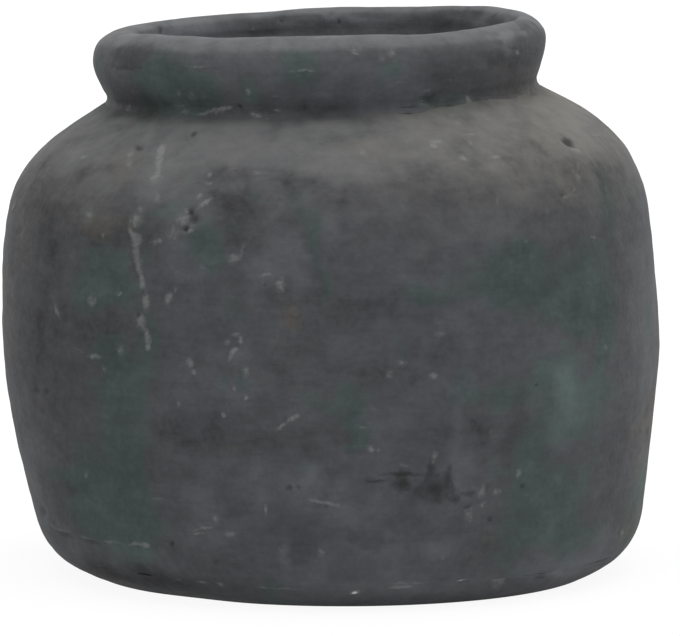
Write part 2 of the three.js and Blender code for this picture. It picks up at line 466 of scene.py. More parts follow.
right_marks = {
    "z_top": (436, 141, 5.5, 1.5, 12, 0.7), "z_low": (433.5, 145.8, 3.2, 1.5, -30, 0.85),
    "nick": (462.5, 157.3, 4.2, 1.4, -30, 0.8), "nick_dash": (495, 156.8, 5, 1.4, -5, 0.6),
    "dash": (470, 134.9, 5.5, 0.9, 0, 0.5), "puff": (471, 142.5, 3.4, 2, 90, 0.35),
    "neck_fleck": (457, 123.6, 3, 1.6, -20, 0.45), "neck_dash": (452.7, 115, 5.5, 1, 0, 0.38),
    "far_bar": (593.7, 135, 6.5, 0.9, 0, 0.5), "pit_lip": (576, 150.5, 5, 1.3, -25, 0.55),
    "slash": (576.5, 175.5, 5, 1.7, -40, 0.5), "hair": (578.5, 166, 4.5, 1.0, 90, 0.4),
    "arc": (568, 196, 5.5, 1.6, 10, 0.45), "arc_end": (574.5, 190, 3, 1.2, 40, 0.38),
    "stalk": (498, 201.6, 4, 1.6, 85, 0.38), "ghost": (547, 211.4, 4, 2, 85, 0.28),
    "dot_far": (593.7, 237.4, 2.5, 1.2, 0, 0.6), "dot_near": (526.5, 241.8, 2.4, 1.4, -20, 0.5),
    "yellow": (363.8, 152.9, 4.5, 2, 0, 0.35), "bar": (440.8, 334, 6, 2.1, 0, 0.5),
    "bar_left": (401.8, 363.6, 5.5, 2.2, 0, 0.38), "spot": (389.4, 374.9, 5, 2.6, 10, 0.5),
    "spot_nick": (434.3, 376.8, 4.5, 2, -15, 0.55), "far_dot": (605, 347, 2.1, 2, 0, 0.6),
    "ring": (370.4, 450.5, 4, 2.2, -60, 0.5), "ring_right": (379, 450.5, 2.4, 1.6, 90, 0.38),
    "faint": (492.9, 434, 5, 2.2, 88, 0.28), "thin_bar": (363.9, 427.6, 4.5, 0.9, 0, 0.33),
    "flake_top": (435.4, 457, 5.5, 2, 85, 0.45), "flake_edge": (405, 465.5, 6, 1.5, -20, 0.33),
    "flake_rim": (482, 493, 6, 2.4, 85, 0.48), "flake_low": (483, 503.5, 3.5, 1.5, 20, 0.5),
    "flake_dot": (497, 492.6, 3.6, 2.4, 80, 0.6), "flake_drip": (470, 514.5, 6.5, 3.2, 80, 0.45),
    "dot": (518.9, 473, 2.8, 2, 0, 0.6), "heel_tick": (620.8, 531.7, 3.6, 1.2, 85, 0.5),
}
PALE_MARKS += photo_marks(middle_marks) + photo_marks(right_marks)
print(f"{len(PALE_MARKS)} pale marks with the middle and the right")

# %% Pale marks on the foot and the collar
foot_marks = {
    "white_chip": (355.2, 592.6, 4.2, 1.0, 12, 2.6), "double_upper": (408, 583.4, 15, 1, 3, 0.7),
    "double_lower": (402, 586.4, 11, 1, 4, 0.95), "bright_chip": (461.4, 579.4, 3.8, 0.45, 8, 2.2),
    "bar": (498.3, 578.3, 7, 2, 3, 0.6), "bar_right": (556.8, 572.8, 8, 2.2, 0, 0.5),
    "bits": (177.8, 579.3, 4, 1.7, -20, 0.42), "left_line": (201.5, 581.5, 8, 1.4, -18, 0.65),
    "left_dot": (221, 584.8, 3, 1.5, 0, 0.5), "thin_line": (262, 588, 6, 0.9, -12, 0.45),
    "thin_line_right": (283, 589.2, 16, 0.9, 0, 0.5), "ledge_start": (61, 529, 9.5, 1.2, -20, 0.5),
    "ledge_second": (86, 538, 8, 1.1, -12, 0.45), "ledge_third": (113, 541.6, 10, 1.1, -8, 0.5),
    "ledge_fourth": (134, 544, 8, 1.2, -3, 0.6), "ledge_end": (145.8, 545.8, 4.5, 1.6, -10, 0.9),
}
collar_marks = {
    "dot": (248, 92, 2.8, 1.5, 90, 0.6), "blotch_left": (178, 94, 4.5, 2, 0, 0.3),
    "blotch": (193, 96, 4, 2.6, 30, 0.33), "stalk": (203, 97, 4.5, 1.6, 88, 0.33),
    "line_left": (181, 105.5, 9, 0.8, 0, 0.32), "line_left_low": (188, 110.4, 8, 0.9, 0, 0.42),
    "line": (214, 110, 13, 1, 2, 0.6), "line_bright": (224.5, 108.6, 6.5, 1.3, 18, 0.9),
    "bit_first": (256, 112.2, 6, 1.2, -10, 0.65), "bit_second": (261.3, 114.6, 2.6, 1.7, -30, 0.75),
    "bit_third": (270.5, 112.6, 4.5, 1.5, 28, 0.8), "bit_fourth": (278, 108.7, 4, 1, 0, 0.45),
    "small_line": (275, 97, 4, 0.9, 0, 0.3), "left_dot": (131, 106.8, 2.2, 1.8, 0, 0.6),
    "right_line": (407, 106.4, 11, 1.2, 2, 0.65), "right_line_low": (399, 107.6, 5, 0.8, 0, 0.4),
    "step": (422, 101.3, 4.5, 1.4, 0, 0.5), "step_right": (433, 103.5, 3, 1.1, 20, 0.4),
    "step_top": (427.5, 90.2, 4.5, 1.1, 0, 0.42), "joint_dot": (465, 98.7, 2.4, 1.9, 0, 0.75),
    "joint_far": (505, 95.4, 10, 1.2, 6, 0.45), "joint_end": (517, 92.8, 5, 1.2, 0, 0.4),
    "dashes": (352, 50.3, 7, 0.9, 0, 0.42), "dashes_low": (355, 53.8, 5, 1, 0, 0.6),
    "mist": (392, 51.5, 5, 3.2, 20, 0.38), "mist_left": (383, 59.5, 3.5, 3, 60, 0.33),
    "teal_line": (301, 70.6, 13, 0.9, 0, 0.42), "dim_line": (202, 65.8, 14, 0.9, 1, 0.33),
    "dim_line_right": (402, 82.6, 7, 0.8, 2, 0.38), "dim_line_far": (450, 80.6, 7, 0.7, 0, 0.25),
    "nick": (517.5, 52, 2.4, 1.6, 0, 0.6), "facet": (504, 41, 5, 3.2, -60, 0.4),
    "crest": (158, 35.5, 5, 1.4, -12, 0.45), "crest_middle": (325, 36.6, 16, 1, 2, 0.42),
    "inside_dash": (252.4, 29, 2.6, 1.1, 90, 0.5),
}
PALE_MARKS += photo_marks(foot_marks) + photo_marks(collar_marks)
print(f"{len(PALE_MARKS)} pale marks, of them {len(on('rim_collar', PALE_MARKS))} on the collar")

# %% Dark marks: pits, flaked patches, and painted shade of torn clay, ledges, joints and the lip
pits = {
    "left": (138.8, 148, 2.8, 2.0, 35, 0.95), "under_rim": (194, 133.4, 2.1, 1.8, 0, 0.95),
    "long": (566.5, 140.6, 5.5, 2.0, -38, 1.5), "long_tail": (571, 143.5, 5, 1.8, -40, 0.9),
    "chip_upper": (190.7, 212.2, 3, 1.7, -40, 1.3), "chip_middle": (194, 219.5, 4.5, 3, -60, 0.9),
    "chip_lower": (185.6, 228.8, 2.8, 1.9, 60, 1.5), "streak": (142.9, 292.3, 1.8, 1.6, 0, 0.85),
    "streak_low": (137, 314.4, 2.4, 1.5, 0, 0.85), "edge": (19.5, 231, 3, 1.5, 90, 0.5),
    "eye_left": (35, 390, 3.2, 2.2, 0, 0.75), "eye_right": (44.5, 392, 3.2, 2, 0, 0.75),
    "heel": (43.4, 511, 3.2, 3, 0, 0.85), "low": (171.3, 543.6, 2.8, 1.6, 90, 0.95),
    "blotch": (142, 570.4, 5.5, 4, 0, 0.8), "under": (214.7, 563, 4.5, 2.6, 0, 0.45),
    "smear": (289.5, 489, 3.2, 2.2, 0, 0.65), "smear_right": (298, 487.8, 2.6, 1.8, 0, 0.5),
    "middle": (352, 541.4, 5.5, 3, -30, 0.5), "curl": (191.8, 367.5, 2, 1.8, 0, 0.6),
    "brown": (490, 518.2, 2.4, 1.6, 90, 0.9), "teal": (522.6, 487, 3, 1.5, 90, 0.85),
    "tiny": (536.9, 385.7, 1.6, 1.3, 0, 0.85), "faint": (326.3, 507.8, 2.6, 2, 0, 0.4),
    "hook": (264.5, 284.5, 1.6, 1.3, 0, 0.5), "arc": (561.5, 195.5, 2.2, 1.6, 60, 0.5),
    "heel_right": (618.3, 532, 3, 1.1, 90, 0.65), "foot_right": (541.6, 577, 8, 1.8, 5, 0.5),
    "joint": (239.8, 106.8, 2, 1.7, 0, 1.1), "joint_right": (304.6, 107.3, 2, 2, 0, 0.6),
    "lip_inside": (162, 30, 3, 1.4, 75, 0.8), "lip_inside_right": (339, 21, 3, 1.1, 88, 0.9),
    "lip_inside_middle": (282.5, 20, 3, 1.6, 20, 0.7), "collar_corner": (530.5, 91.6, 3.4, 2.4, 60, 0.8),
}
flakes = {
    "tail": (377, 481, 10, 1.2, 2, 0.8), "line": (404, 475, 22, 1.1, 0, 0.8),
    "knob_left": (403, 475, 6, 3.4, 0, 0.8), "left": (400, 486, 10, 5, 15, 0.75),
    "left_core": (405, 485, 5, 3, 20, 0.8), "between": (415, 491, 6, 4, 0, 0.4),
    "knob": (432, 468, 3.8, 4, 0, 0.95), "upper_left": (430, 475, 4, 4, 0, 0.3),
    "upper_right": (449, 476, 4.5, 8, 10, 0.7), "main": (436, 489, 14, 8, 0, 1.3),
    "main_foot": (439, 500, 3, 3, 0, 0.3), "right": (456, 495, 7, 6, -30, 0.45),
    "right_low": (456, 501, 5, 2.5, -10, 0.7), "reach": (471, 494, 8, 2.2, 12, 0.7),
    "scratches": (468, 507, 4, 0.8, 20, 0.8), "ledge_shadow": (64, 534, 11, 3, -15, 0.6),
    "ledge_shadow_right": (90, 541.8, 9, 2, -8, 0.6), "collar_groove": (125, 68.4, 14, 1.5, 0, 0.55),
    "collar_line": (215, 68, 16, 0.9, -2, 0.3), "collar_bay": (152, 104, 9, 3.4, -20, 0.55),
    "under_line": (208, 114.6, 12, 1.6, 0, 0.55), "line_right": (272, 110.4, 12, 0.9, 0, 0.4),
    "under_right_line": (405, 109.8, 11, 1.0, 3, 0.5), "step_shadow": (428, 98.6, 9, 2, 8, 0.75),
    "bay_right": (446, 100.8, 14, 1.6, 4, 0.6), "far_line": (499, 93.8, 14, 1.1, 3, 0.55),
    "facet_shadow": (512, 48.5, 11, 1.8, -20, 0.45), "facet_hollow": (522, 29.5, 5, 1.6, 25, 0.4),
}
DARK_MARKS = photo_marks(pits) + photo_marks(flakes)
print(f"{len(DARK_MARKS)} dark marks")

# %% [markdown]
# ## Broad clouds of colour
#
# Smoke, ash and handling left clouds on the clay: cool green ones, warm brown ones and blue-grey ones.
# There are lighter and darker ones too, partly in the clay and partly painted light and shade: along the
# pot's edges, at the heel, under the collar, inside the mouth and on the lip. Each is a mark as well, only
# large and soft. So many broad shapes would make a slow material, and they don't need fine detail, so
# their sums are stored at the points of the mesh and the material reads them back. Noise in the material
# then breaks up their edges.

# %% Green clouds
green_patches = {
    "left_shoulder": (104, 264, 28, 22, -10, 0.55), "left_side": (100, 296, 32, 16, 10, 0.8),
    "by_streak": (205, 250, 18, 18, 0, 0.8), "under_streak": (212, 268, 10, 8, 0, 0.6),
    "by_chips": (168, 213, 12, 10, 0, 0.6), "over_chips": (187, 178, 16, 16, 0, 0.5),
    "dark_rim": (255, 200, 14, 5, 0, 0.5), "dark_middle": (240, 230, 12, 8, 0, 0.5),
    "high_corner": (285, 183, 14, 6, 0, 0.6), "high_right": (298, 206, 9, 14, 0, 0.7),
    "tall": (315, 242, 13, 26, 0, 0.9), "tall_foot": (330, 288, 10, 12, 0, 0.7),
    "under_puff": (230, 308, 16, 8, 0, 0.4), "under_arc": (290, 294, 9, 5, 0, 0.4),
    "comb": (110, 362, 32, 12, -15, 0.7), "comb_low": (115, 395, 30, 34, 0, 0.95),
    "comb_right": (142, 393, 12, 8, 0, 0.5), "left_low": (105, 462, 48, 18, 0, 0.9),
    "left_tongue": (62, 472, 22, 6, 0, 0.7), "left_heel": (105, 515, 42, 26, -10, 0.95),
    "left_heel_high": (128, 485, 14, 20, 0, 0.5), "left_foot": (140, 558, 18, 12, 0, 0.6),
    "under_loop": (246, 372, 9, 9, 0, 0.7), "beside_loop": (228, 368, 7, 9, 0, 0.5),
    "smear": (300, 471, 12, 6, 0, 0.6), "foot": (272, 581, 18, 8, 0, 0.8),
    "foot_low": (275, 598, 20, 5, 0, 0.7), "centre": (336, 413, 22, 10, 0, 0.65),
    "centre_right": (352, 392, 20, 14, 0, 0.7), "centre_low": (352, 440, 20, 12, 0, 0.7),
    "over_bar": (432, 298, 26, 9, 0, 0.8), "under_bar": (400, 350, 20, 8, 0, 0.4),
    "right_shoulder": (532, 254, 24, 11, 10, 0.45), "right_side": (510, 279, 48, 20, 5, 0.9),
    "far_side": (590, 285, 34, 34, 0, 0.75), "far_side_low": (570, 303, 38, 14, 0, 0.45),
    "far_shoulder": (612, 200, 14, 22, -30, 0.6), "far_middle": (606, 332, 10, 20, 0, 0.5),
    "far_bright": (566, 386, 36, 26, 0, 0.95), "far_band": (590, 395, 34, 12, 0, 0.6),
    "far_low": (565, 425, 34, 20, 0, 0.55), "far_tail": (588, 462, 18, 28, 0, 0.25),
    "heel_high": (527, 455, 24, 20, 0, 0.5), "heel": (546, 506, 38, 28, 0, 0.7),
    "heel_low": (580, 533, 36, 20, 0, 0.4), "heel_foot": (505, 550, 36, 20, 0, 0.35),
    "by_hollow": (455, 392, 28, 12, 0, 0.5), "olive_spot": (455, 372, 14, 8, 0, 0.4),
    "low_spot": (408, 535, 10, 4, 0, 0.5), "collar_left": (160, 88, 32, 26, 0, 1.1),
    "under_collar": (156, 109, 26, 6, 0, 0.7), "collar_blotch": (196, 96, 18, 12, 0, 1.0),
    "collar_dot": (250, 90, 12, 10, 0, 0.6), "collar_right": (440, 99, 26, 6, 5, 0.9),
    "collar_high": (150, 80, 16, 14, 0, 0.5), "collar_line": (302, 68, 24, 12, 0, 0.9),
    "collar_foot": (330, 100, 30, 8, 0, 0.4), "streak_side": (150, 240, 12, 20, 0, 0.6),
    "streak_foot": (150, 340, 14, 28, 0, 0.75), "far_edge": (606, 365, 10, 32, 0, 0.6),
    "hollow": (508, 392, 24, 12, 0, 0.5), "collar_far": (392, 79, 14, 11, 0, 0.8),
}
CLOUDS = {"green": photo_marks(green_patches)}
print(f"{len(green_patches)} green clouds")

# %% Warm clouds, and blue ones that count against them
warm_patches = {
    "left_shoulder": (95, 190, 62, 50, -20, 0.45), "left_edge": (20, 330, 120, 20, 90, 0.3),
    "left_high": (22, 215, 50, 12, 90, 0.5), "yellow": (130, 160, 18, 12, 0, 0.8),
    "yellow_line": (105, 226, 42, 8, 0, 0.5), "pale_middle": (235, 147, 30, 18, 0, 0.5),
    "olive_high": (425, 248, 14, 10, 0, 0.6), "olive_middle": (366, 230, 14, 14, 0, 0.5),
    "olive_low": (290, 305, 10, 8, 0, 0.5), "rust": (292, 350, 32, 46, 0, 0.45),
    "ochre": (226, 445, 20, 8, 0, 0.6), "flake": (430, 488, 16, 10, 0, 0.5),
    "khaki": (484, 532, 15, 20, 0, 0.8), "right_shoulder": (550, 140, 90, 46, -20, 0.6),
    "right_top": (555, 108, 32, 16, -25, 0.9), "right_low": (500, 182, 32, 26, 0, 0.1),
    "high_centre": (365, 142, 70, 16, 0, 0.8), "foot": (362, 592, 30, 10, 0, 0.6),
    "heel_edge": (626, 535, 14, 24, 0, 0.6), "far_edge": (648, 405, 100, 14, 90, 0.45),
}
blue_patches = {
    "under_chips": (185, 280, 28, 14, 0, 1.2), "puff": (178, 262, 18, 8, 0, 0.5),
    "middle": (205, 320, 42, 26, 0, 0.5), "arc": (280, 288, 14, 12, 0, 0.9),
    "by_curl": (170, 364, 12, 16, 0, 0.6), "under_curl": (200, 425, 34, 18, 0, 0.6),
    "heel": (290, 525, 100, 46, 0, 0.6), "centre": (420, 415, 52, 66, 0, 0.6),
    "centre_low": (390, 525, 105, 46, 0, 0.6), "right_low": (470, 330, 54, 26, 0, 0.6),
    "centre_high": (375, 290, 42, 45, 0, 0.5), "top": (362, 190, 34, 20, 0, 0.7),
    "left_spot": (55, 370, 11, 15, 0, 0.6), "under_rim": (170, 135, 26, 12, 0, 0.5),
    "joint": (370, 114, 110, 12, 0, 0.8), "far_spot": (540, 180, 14, 13, 0, 0.6),
    "foot": (430, 583, 18, 12, 0, 0.6), "high": (420, 192, 80, 18, 0, 0.5),
}
CLOUDS["warm"] = photo_marks(warm_patches) + photo_marks(blue_patches, -1)
print(f"{len(warm_patches)} warm clouds and {len(blue_patches)} blue ones")

# %% Light clouds
# Painted light among them: the bands along both edges, the heel and the foot, under the ledge, and the lip's
# facet
light_patches = {
    "left_bar": (80, 157, 28, 7, 0, 0.2), "left_spot": (86, 212, 10, 9, 0, 0.35),
    "pale_middle": (232, 147, 28, 18, 0, 0.3), "high_band": (310, 150, 64, 18, 0, 0.25),
    "high_right": (400, 138, 60, 14, 0, 0.15), "chips": (176, 212, 22, 28, 0, 0.25),
    "streak": (160, 170, 14, 26, 0, 0.2), "puff_high": (285, 243, 16, 9, 30, 0.15),
    "puff_low": (296, 262, 14, 8, 0, 0.3), "puff": (268, 274, 18, 14, 0, 0.4),
    "arc": (290, 284, 12, 10, 0, 0.35), "by_green": (200, 264, 20, 8, 0, 0.3),
    "puff_line": (234, 258, 11, 5, 10, 0.3), "centre_high": (338, 228, 12, 14, 0, 0.35),
    "by_nick": (500, 172, 14, 26, 10, 0.25), "right_middle": (500, 230, 44, 16, 0, 0.2),
    "far_side": (600, 275, 14, 10, 0, 0.25), "far_bright": (570, 384, 13, 20, -15, 0.48),
    "far_band": (578, 385, 46, 36, 0, 0.42), "low_right": (485, 325, 50, 18, 0, 0.2),
    "edge_right": (648, 330, 100, 14, 90, 0.45), "edge_low_right": (642, 476, 44, 10, 97, 0.4),
    "edge_low_left": (33, 464, 30, 8, 80, 0.3), "over_bright": (559, 326, 12, 16, 0, 0.25),
    "under_smear": (382, 495, 16, 12, 0, 0.3), "inside_top": (330, 13, 80, 4, -3, 0.8),
    "inside_top_right": (494, 13, 32, 4, 3, 0.8), "middle_low": (290, 435, 34, 9, 0, 0.12),
    "inside_left": (192, 31, 48, 8, -4, 0.9), "inside_end": (478, 24, 12, 8, 60, 0.4),
    "far_middle": (560, 440, 22, 12, -30, 0.3), "far_wide": (575, 470, 50, 80, 0, 0.14),
    "heel_right": (548, 535, 12, 18, 0, 0.25), "heel_low": (588, 558, 44, 13, 24, 0.65),
    "heel_left": (72, 549, 26, 9, -35, 0.35), "loop": (235, 345, 14, 14, 0, 0.22),
    "specks": (238, 395, 24, 20, 0, 0.18), "smear": (300, 485, 22, 14, 0, 0.75),
    "smear_left": (262, 480, 26, 14, 0, 0.45), "smear_right": (340, 508, 20, 12, -20, 0.35),
    "low": (370, 545, 40, 18, 0, 0.25), "low_middle": (445, 543, 24, 9, 0, 0.5),
    "scuff": (205, 530, 34, 9, 0, 0.25), "low_spot": (207, 505, 20, 11, 0, 0.35),
    "low_puff": (283, 549, 9, 9, 0, 0.3), "centre": (452, 440, 11, 17, 0, 0.25),
    "by_flake": (462, 474, 22, 20, 0, 0.38), "low_front": (329, 563, 24, 9, 0, 0.3),
    "hollow": (532, 408, 16, 10, 0, 0.22), "high_spot": (278, 148, 18, 10, 0, 0.2),
    "collar_flank": (143, 57, 16, 7, 0, 0.25), "mid_front": (335, 459, 22, 9, 0, 0.2),
    "under_ledge": (125, 560, 46, 8, -12, 0.5), "foot": (420, 590, 60, 8, 0, 0.3),
    "collar": (240, 60, 80, 10, 0, 0.15), "collar_right": (400, 88, 36, 14, 0, 0.4),
    "collar_middle": (350, 92, 30, 12, 0, 0.2), "right_top": (560, 110, 40, 18, -25, 0.6),
    "facet": (507, 38, 9, 6, -40, 0.35), "lip_left": (160, 26, 46, 5, -10, 0.5),
    "foot_front": (390, 590, 110, 8, 0, 0.2), "foot_right": (540, 577, 50, 8, 12, 0.3),
    "foot_left": (298, 597, 56, 9, 0, 0.5), "under_rim": (300, 119, 110, 5, 0, 0.3),
}
CLOUDS["light"] = photo_marks(light_patches)
print(f"{len(light_patches)} light clouds")

# %% Dark clouds, which count against the light ones
# Painted shade among them: the bands along the left edge, the heel, under the collar, inside the mouth and
# on the lip's facets
dark_patches = {
    "shoulder_edge": (45, 215, 42, 14, 90, 0.3), "left_edge": (42, 300, 80, 12, 90, 0.2),
    "left_bar": (88, 170, 28, 6, 5, 0.25), "left_brow": (90, 228, 22, 8, 0, 0.22),
    "left_crown": (25, 182, 22, 12, 60, 0.28), "left_nick": (75, 142, 8, 6, 0, 0.3),
    "left_slope": (45, 153, 16, 7, 45, 0.22), "left_high": (115, 132, 9, 6, 0, 0.35),
    "middle": (242, 190, 34, 16, 0, 0.14), "middle_low": (238, 222, 32, 26, 0, 0.22),
    "streak_gap": (150, 225, 12, 22, 0, 0.3), "streak_left": (118, 238, 24, 6, 0, 0.25),
    "high": (430, 196, 54, 20, 0, 0.2), "high_left": (365, 187, 60, 13, 0, 0.32),
    "high_corner": (295, 184, 24, 9, 0, 0.28), "over_chips": (210, 186, 32, 14, 0, 0.36),
    "by_puff": (290, 214, 14, 22, 0, 0.22), "left_side": (42, 358, 44, 14, 90, 0.25),
    "rust": (300, 365, 30, 30, 0, 0.15), "left_middle": (100, 330, 34, 20, 0, 0.22),
    "left_arc": (63, 306, 12, 16, 0, 0.2), "far_left": (20, 330, 50, 8, 90, 0.25),
    "far_left_high": (18, 232, 40, 8, 90, 0.25), "left_bottom": (62, 420, 16, 12, 0, 0.2),
    "left_low": (72, 396, 20, 16, 0, 0.22), "low_left": (195, 440, 36, 12, 0, 0.22),
    "centre": (400, 370, 36, 8, 0, 0.15), "hollow": (525, 425, 20, 14, 0, 0.2),
    "far": (612, 225, 10, 20, 0, 0.15), "far_high": (612, 172, 18, 12, -40, 0.12),
    "brown_bar": (480, 425, 17, 5, 0, 0.2), "low_band": (370, 535, 42, 6, 0, 0.25),
    "left_brown": (75, 485, 20, 8, 0, 0.25), "heel": (165, 587, 60, 7, -10, 0.6),
    "heel_left": (105, 577, 34, 8, -24, 0.6), "inside": (262, 27, 20, 7, 0, 0.25),
    "inside_right": (438, 26, 20, 9, 0, 0.3), "collar_bay": (140, 100, 34, 8, -12, 0.4),
    "collar_foot": (290, 106, 170, 8, 0, 0.2), "collar_corner": (526, 86, 16, 9, 60, 0.3),
    "collar_left_edge": (98, 66, 16, 8, 90, 0.3), "collar_right_edge": (541, 50, 24, 6, 90, 0.25),
    "facet_under": (498, 56, 26, 4, -8, 0.3), "lip_near_right": (480, 39, 22, 5, 8, 0.2),
    "lip_left": (128, 48, 32, 9, -10, 0.35), "lip_right": (524, 47, 20, 13, 60, 0.25),
    "lip_far_right": (533, 27, 9, 9, 0, 0.3), "right_pit": (562, 142, 28, 13, -20, 0.2),
    "far_corner": (622, 190, 26, 10, -60, 0.2),
}
CLOUDS["light"] += photo_marks(dark_patches, -1)
print(f"{len(dark_patches)} dark clouds")

# %% [markdown]
# ## Sides and back
#
# The photograph shows one side only. The rest gets clouds, streaks, pits and flaked places of the same
# kinds and sizes, placed by a seeded generator, so that it repeats exactly.

# %% Clouds that go on round the pot
around = np.random.default_rng(20)
UNSEEN = (-14, 194)

# Strength, then the smallest and the largest half length in metres
ROUND_CLOUDS = {"green": (0.85, 0.005, 0.024), "warm": (0.6, 0.006, 0.03), "light": (0.28, 0.004, 0.014)}
for kind, (amount, smallest, largest) in ROUND_CLOUDS.items():
    for azimuth in np.arange(*UNSEEN, 5):
        turn, height = azimuth + around.uniform(-6, 6), around.uniform(0.012, 0.245)
        length = around.uniform(smallest, largest)
        sign = 1 if kind == "green" else around.choice([-1, 1])
        slant, share = around.uniform(-25, 25), around.uniform(0.35, 0.9)
        CLOUDS[kind].append(round_mark(turn, height, length, share * length, slant, sign * amount))
print({kind: len(marks) for kind, marks in CLOUDS.items()})

# %% Specks, pits, streaks and flaked places that go on round the pot
for azimuth in np.arange(*UNSEEN, 7):
    turn, height = azimuth + around.uniform(-3, 3), around.uniform(0.02, 0.24)
    length, width = around.uniform(0.0012, 0.0045), around.uniform(0.0006, 0.0012)
    slant = around.choice([0, 35, 80]) + around.uniform(-15, 15)
    PALE_MARKS.append(round_mark(turn, height, length, width, slant, around.uniform(0.4, 0.9)))
for azimuth in np.arange(*UNSEEN, 15):
    turn, height = azimuth + around.uniform(-6, 6), around.uniform(0.03, 0.2)
    size = around.uniform(0.0008, 0.0015)
    DARK_MARKS.append(round_mark(turn, height, size, 0.8 * size, 0, 0.9))
STREAKS = ((35, 0.15), (128, 0.12))
for azimuth, height in STREAKS:
    for step in range(5):
        wander, length = around.uniform(-1, 1), around.uniform(0.003, 0.006)
        place = (azimuth + 0.5 * wander + 0.6 * step, height - 0.009 * step)
        PALE_MARKS.append(round_mark(*place, length, around.uniform(0.0008, 0.0013), 85 + 8 * wander, 0.6))
FLAKED_PLACES = ((62, 0.07), (142, 0.06))
for azimuth, height in FLAKED_PLACES:
    for _ in range(4):
        turn, level = azimuth + around.uniform(-5, 5), height + around.uniform(-0.005, 0.005)
        size, slant = around.uniform(0.002, 0.005), around.uniform(-20, 20)
        DARK_MARKS.append(round_mark(turn, level, size, 0.6 * size, slant, 0.85))
print(f"{len(PALE_MARKS)} pale and {len(DARK_MARKS)} dark marks in all")

# %% [markdown]
# ## From a profile to a mesh
#
# A profile carried round the axis is a grid of points, and each square of the grid is a face. The
# arrays go straight into the mesh. The relief is laid on along the normal of the grid, which comes from
# the cross product of the two directions of the grid. Its rows crowd together at the front, where most
# of the marks are, and each dark mark is also a dent and each pale one a thin crust, so that they
# aren't only painted on.

# %% Points, faces and pieces
NOT_ZERO = 1e-12


def grid_normal(points):
    """Unit normals of a grid that closes both ways: the cross product of the central differences round the
    pot and along the profile."""
    round_pot = np.roll(points, -1, axis=0) - np.roll(points, 1, axis=0)
    along = np.roll(points, -1, axis=1) - np.roll(points, 1, axis=1)
    normal = np.cross(round_pot, along)
    return normal / np.maximum(np.linalg.norm(normal, axis=-1, keepdims=True), NOT_ZERO)


def grid_faces(rows, columns):
    """Squares of a grid of points that closes both ways, as four indices each."""
    row, column = np.arange(rows)[:, None], np.arange(columns)[None, :]
    next_row, next_column = (row + 1) % rows, (column + 1) % columns
    corners = [row * columns + column, next_row * columns + column]
    corners += [next_row * columns + next_column, row * columns + next_column]
    return np.stack(corners, axis=-1).reshape(-1, 4)


SHARPEST = math.radians(50)


def add_piece(name, points, faces):
    """An object at the origin, with its place in its mesh, smooth-shaded except over sharp edges."""
    mesh = bpy.data.meshes.new(name)
    mesh.from_pydata(points.reshape(-1, 3), [], faces)
    mesh.polygons.foreach_set("use_smooth", np.ones(len(mesh.polygons), bool))
    mesh.set_sharp_from_angle(angle=SHARPEST)
    piece = bpy.data.objects.new(name, mesh)
    scene.collection.objects.link(piece)
    return piece


# %% How marks and clouds cover the points
# Size, amount and seed of the noise that frays the clouds
CLOUD_FRAYS = ((0.021, 0.006, 81), (0.007, 0.003, 85))


def cover(points, marks, shape):
    """The sum over the marks of strength times shape(1 - d), where d is the length of
    axes^T (point - place) / reach, and nothing where d is over 1."""
    total = np.zeros(points.shape[:-1])
    for mark in marks:
        local = (points - np.array(mark.place)) @ np.array(mark.axes) / np.array(mark.reach)
        total += mark.strength * shape(np.maximum(0, 1 - np.linalg.norm(local, axis=-1)))
    return total


def wandered(points, size, amount, seed):
    """The points moved by up to this amount by lattice noise of this size, so that shapes on them fray."""
    return points + amount * np.stack([lumps(points, size, seed + axis) for axis in range(3)], axis=-1)


def cloud_values(points):
    """For each point how green, how warm and how light its clouds make it."""
    for size, amount, seed in CLOUD_FRAYS:
        points = wandered(points, size, amount, seed)
    return np.stack([cover(points, marks, ease) for marks in CLOUDS.values()], axis=-1)


# %% Build a turned piece
TURNS = 500
FRONT_CROWDING = 0.35
DENT = 0.0009
CRUST = 0.00018


def turned_piece(name, node, profile, relief):
    """Carries a closed profile of radii and heights round the axis, puts it out of true, and moves each
    point along the normal by relief(points, profile) and by the dents and crusts of this node's marks."""
    turn = np.linspace(0, 2 * math.pi, TURNS, endpoint=False)[:, None]
    azimuth = turn + FRONT_CROWDING * np.sin(turn) + math.pi / 2
    points = out_of_true(profile[None, :, 0], profile[None, :, 1], azimuth)
    push = relief(points, profile)
    push = push + CRUST * np.minimum(cover(points, on(node, PALE_MARKS), np.sqrt), 1)
    push = push - DENT * np.minimum(cover(points, on(node, DARK_MARKS), np.sqrt), 1)
    points = points + grid_normal(points) * push[..., None]
    piece = add_piece(name, points, grid_faces(TURNS, len(profile)))
    stored = piece.data.attributes.new("clouds", "FLOAT_VECTOR", "POINT")
    stored.data.foreach_set("vector", cloud_values(points).ravel())
    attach(piece, "root")
    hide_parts(node)
    size = points.reshape(-1, 3).max(axis=0) - points.reshape(-1, 3).min(axis=0)
    print(f"{name}: {len(piece.data.polygons)} faces, {np.round(1000 * size, 1)} mm")
    return piece


# %% [markdown]
# ## The wall
#
# The wall is one closed skin: up the outside from the lower joint, over the edge at the neck, down the
# inside, and back under. Its inside is the outside moved inwards by the clay's thickness. Where it
# meets the other two pieces the joint was only roughly smoothed, so the skin dips into a ragged groove
# there, and on the left a thin ledge of it still hangs over the heel.

# %% Profile of the wall
OUTSIDE_SPACING = 0.00152
INSIDE_SPACING = 0.008
NECK_FACE_SPACING = 0.004
SEAT_SPACING = 0.005


def above(line, height):
    """The part of a rising line above a height, starting exactly at it."""
    start = [np.interp(height, line[:, 1], line[:, 0]), height]
    return np.concatenate([[start], line[line[:, 1] > height]])


def inset(line, thickness):
    """The line moved inwards by a thickness, square to itself."""
    along = np.gradient(line, axis=0)
    along = along / np.linalg.norm(along, axis=1, keepdims=True)
    return line + thickness * np.stack([-along[:, 1], along[:, 0]], axis=1)


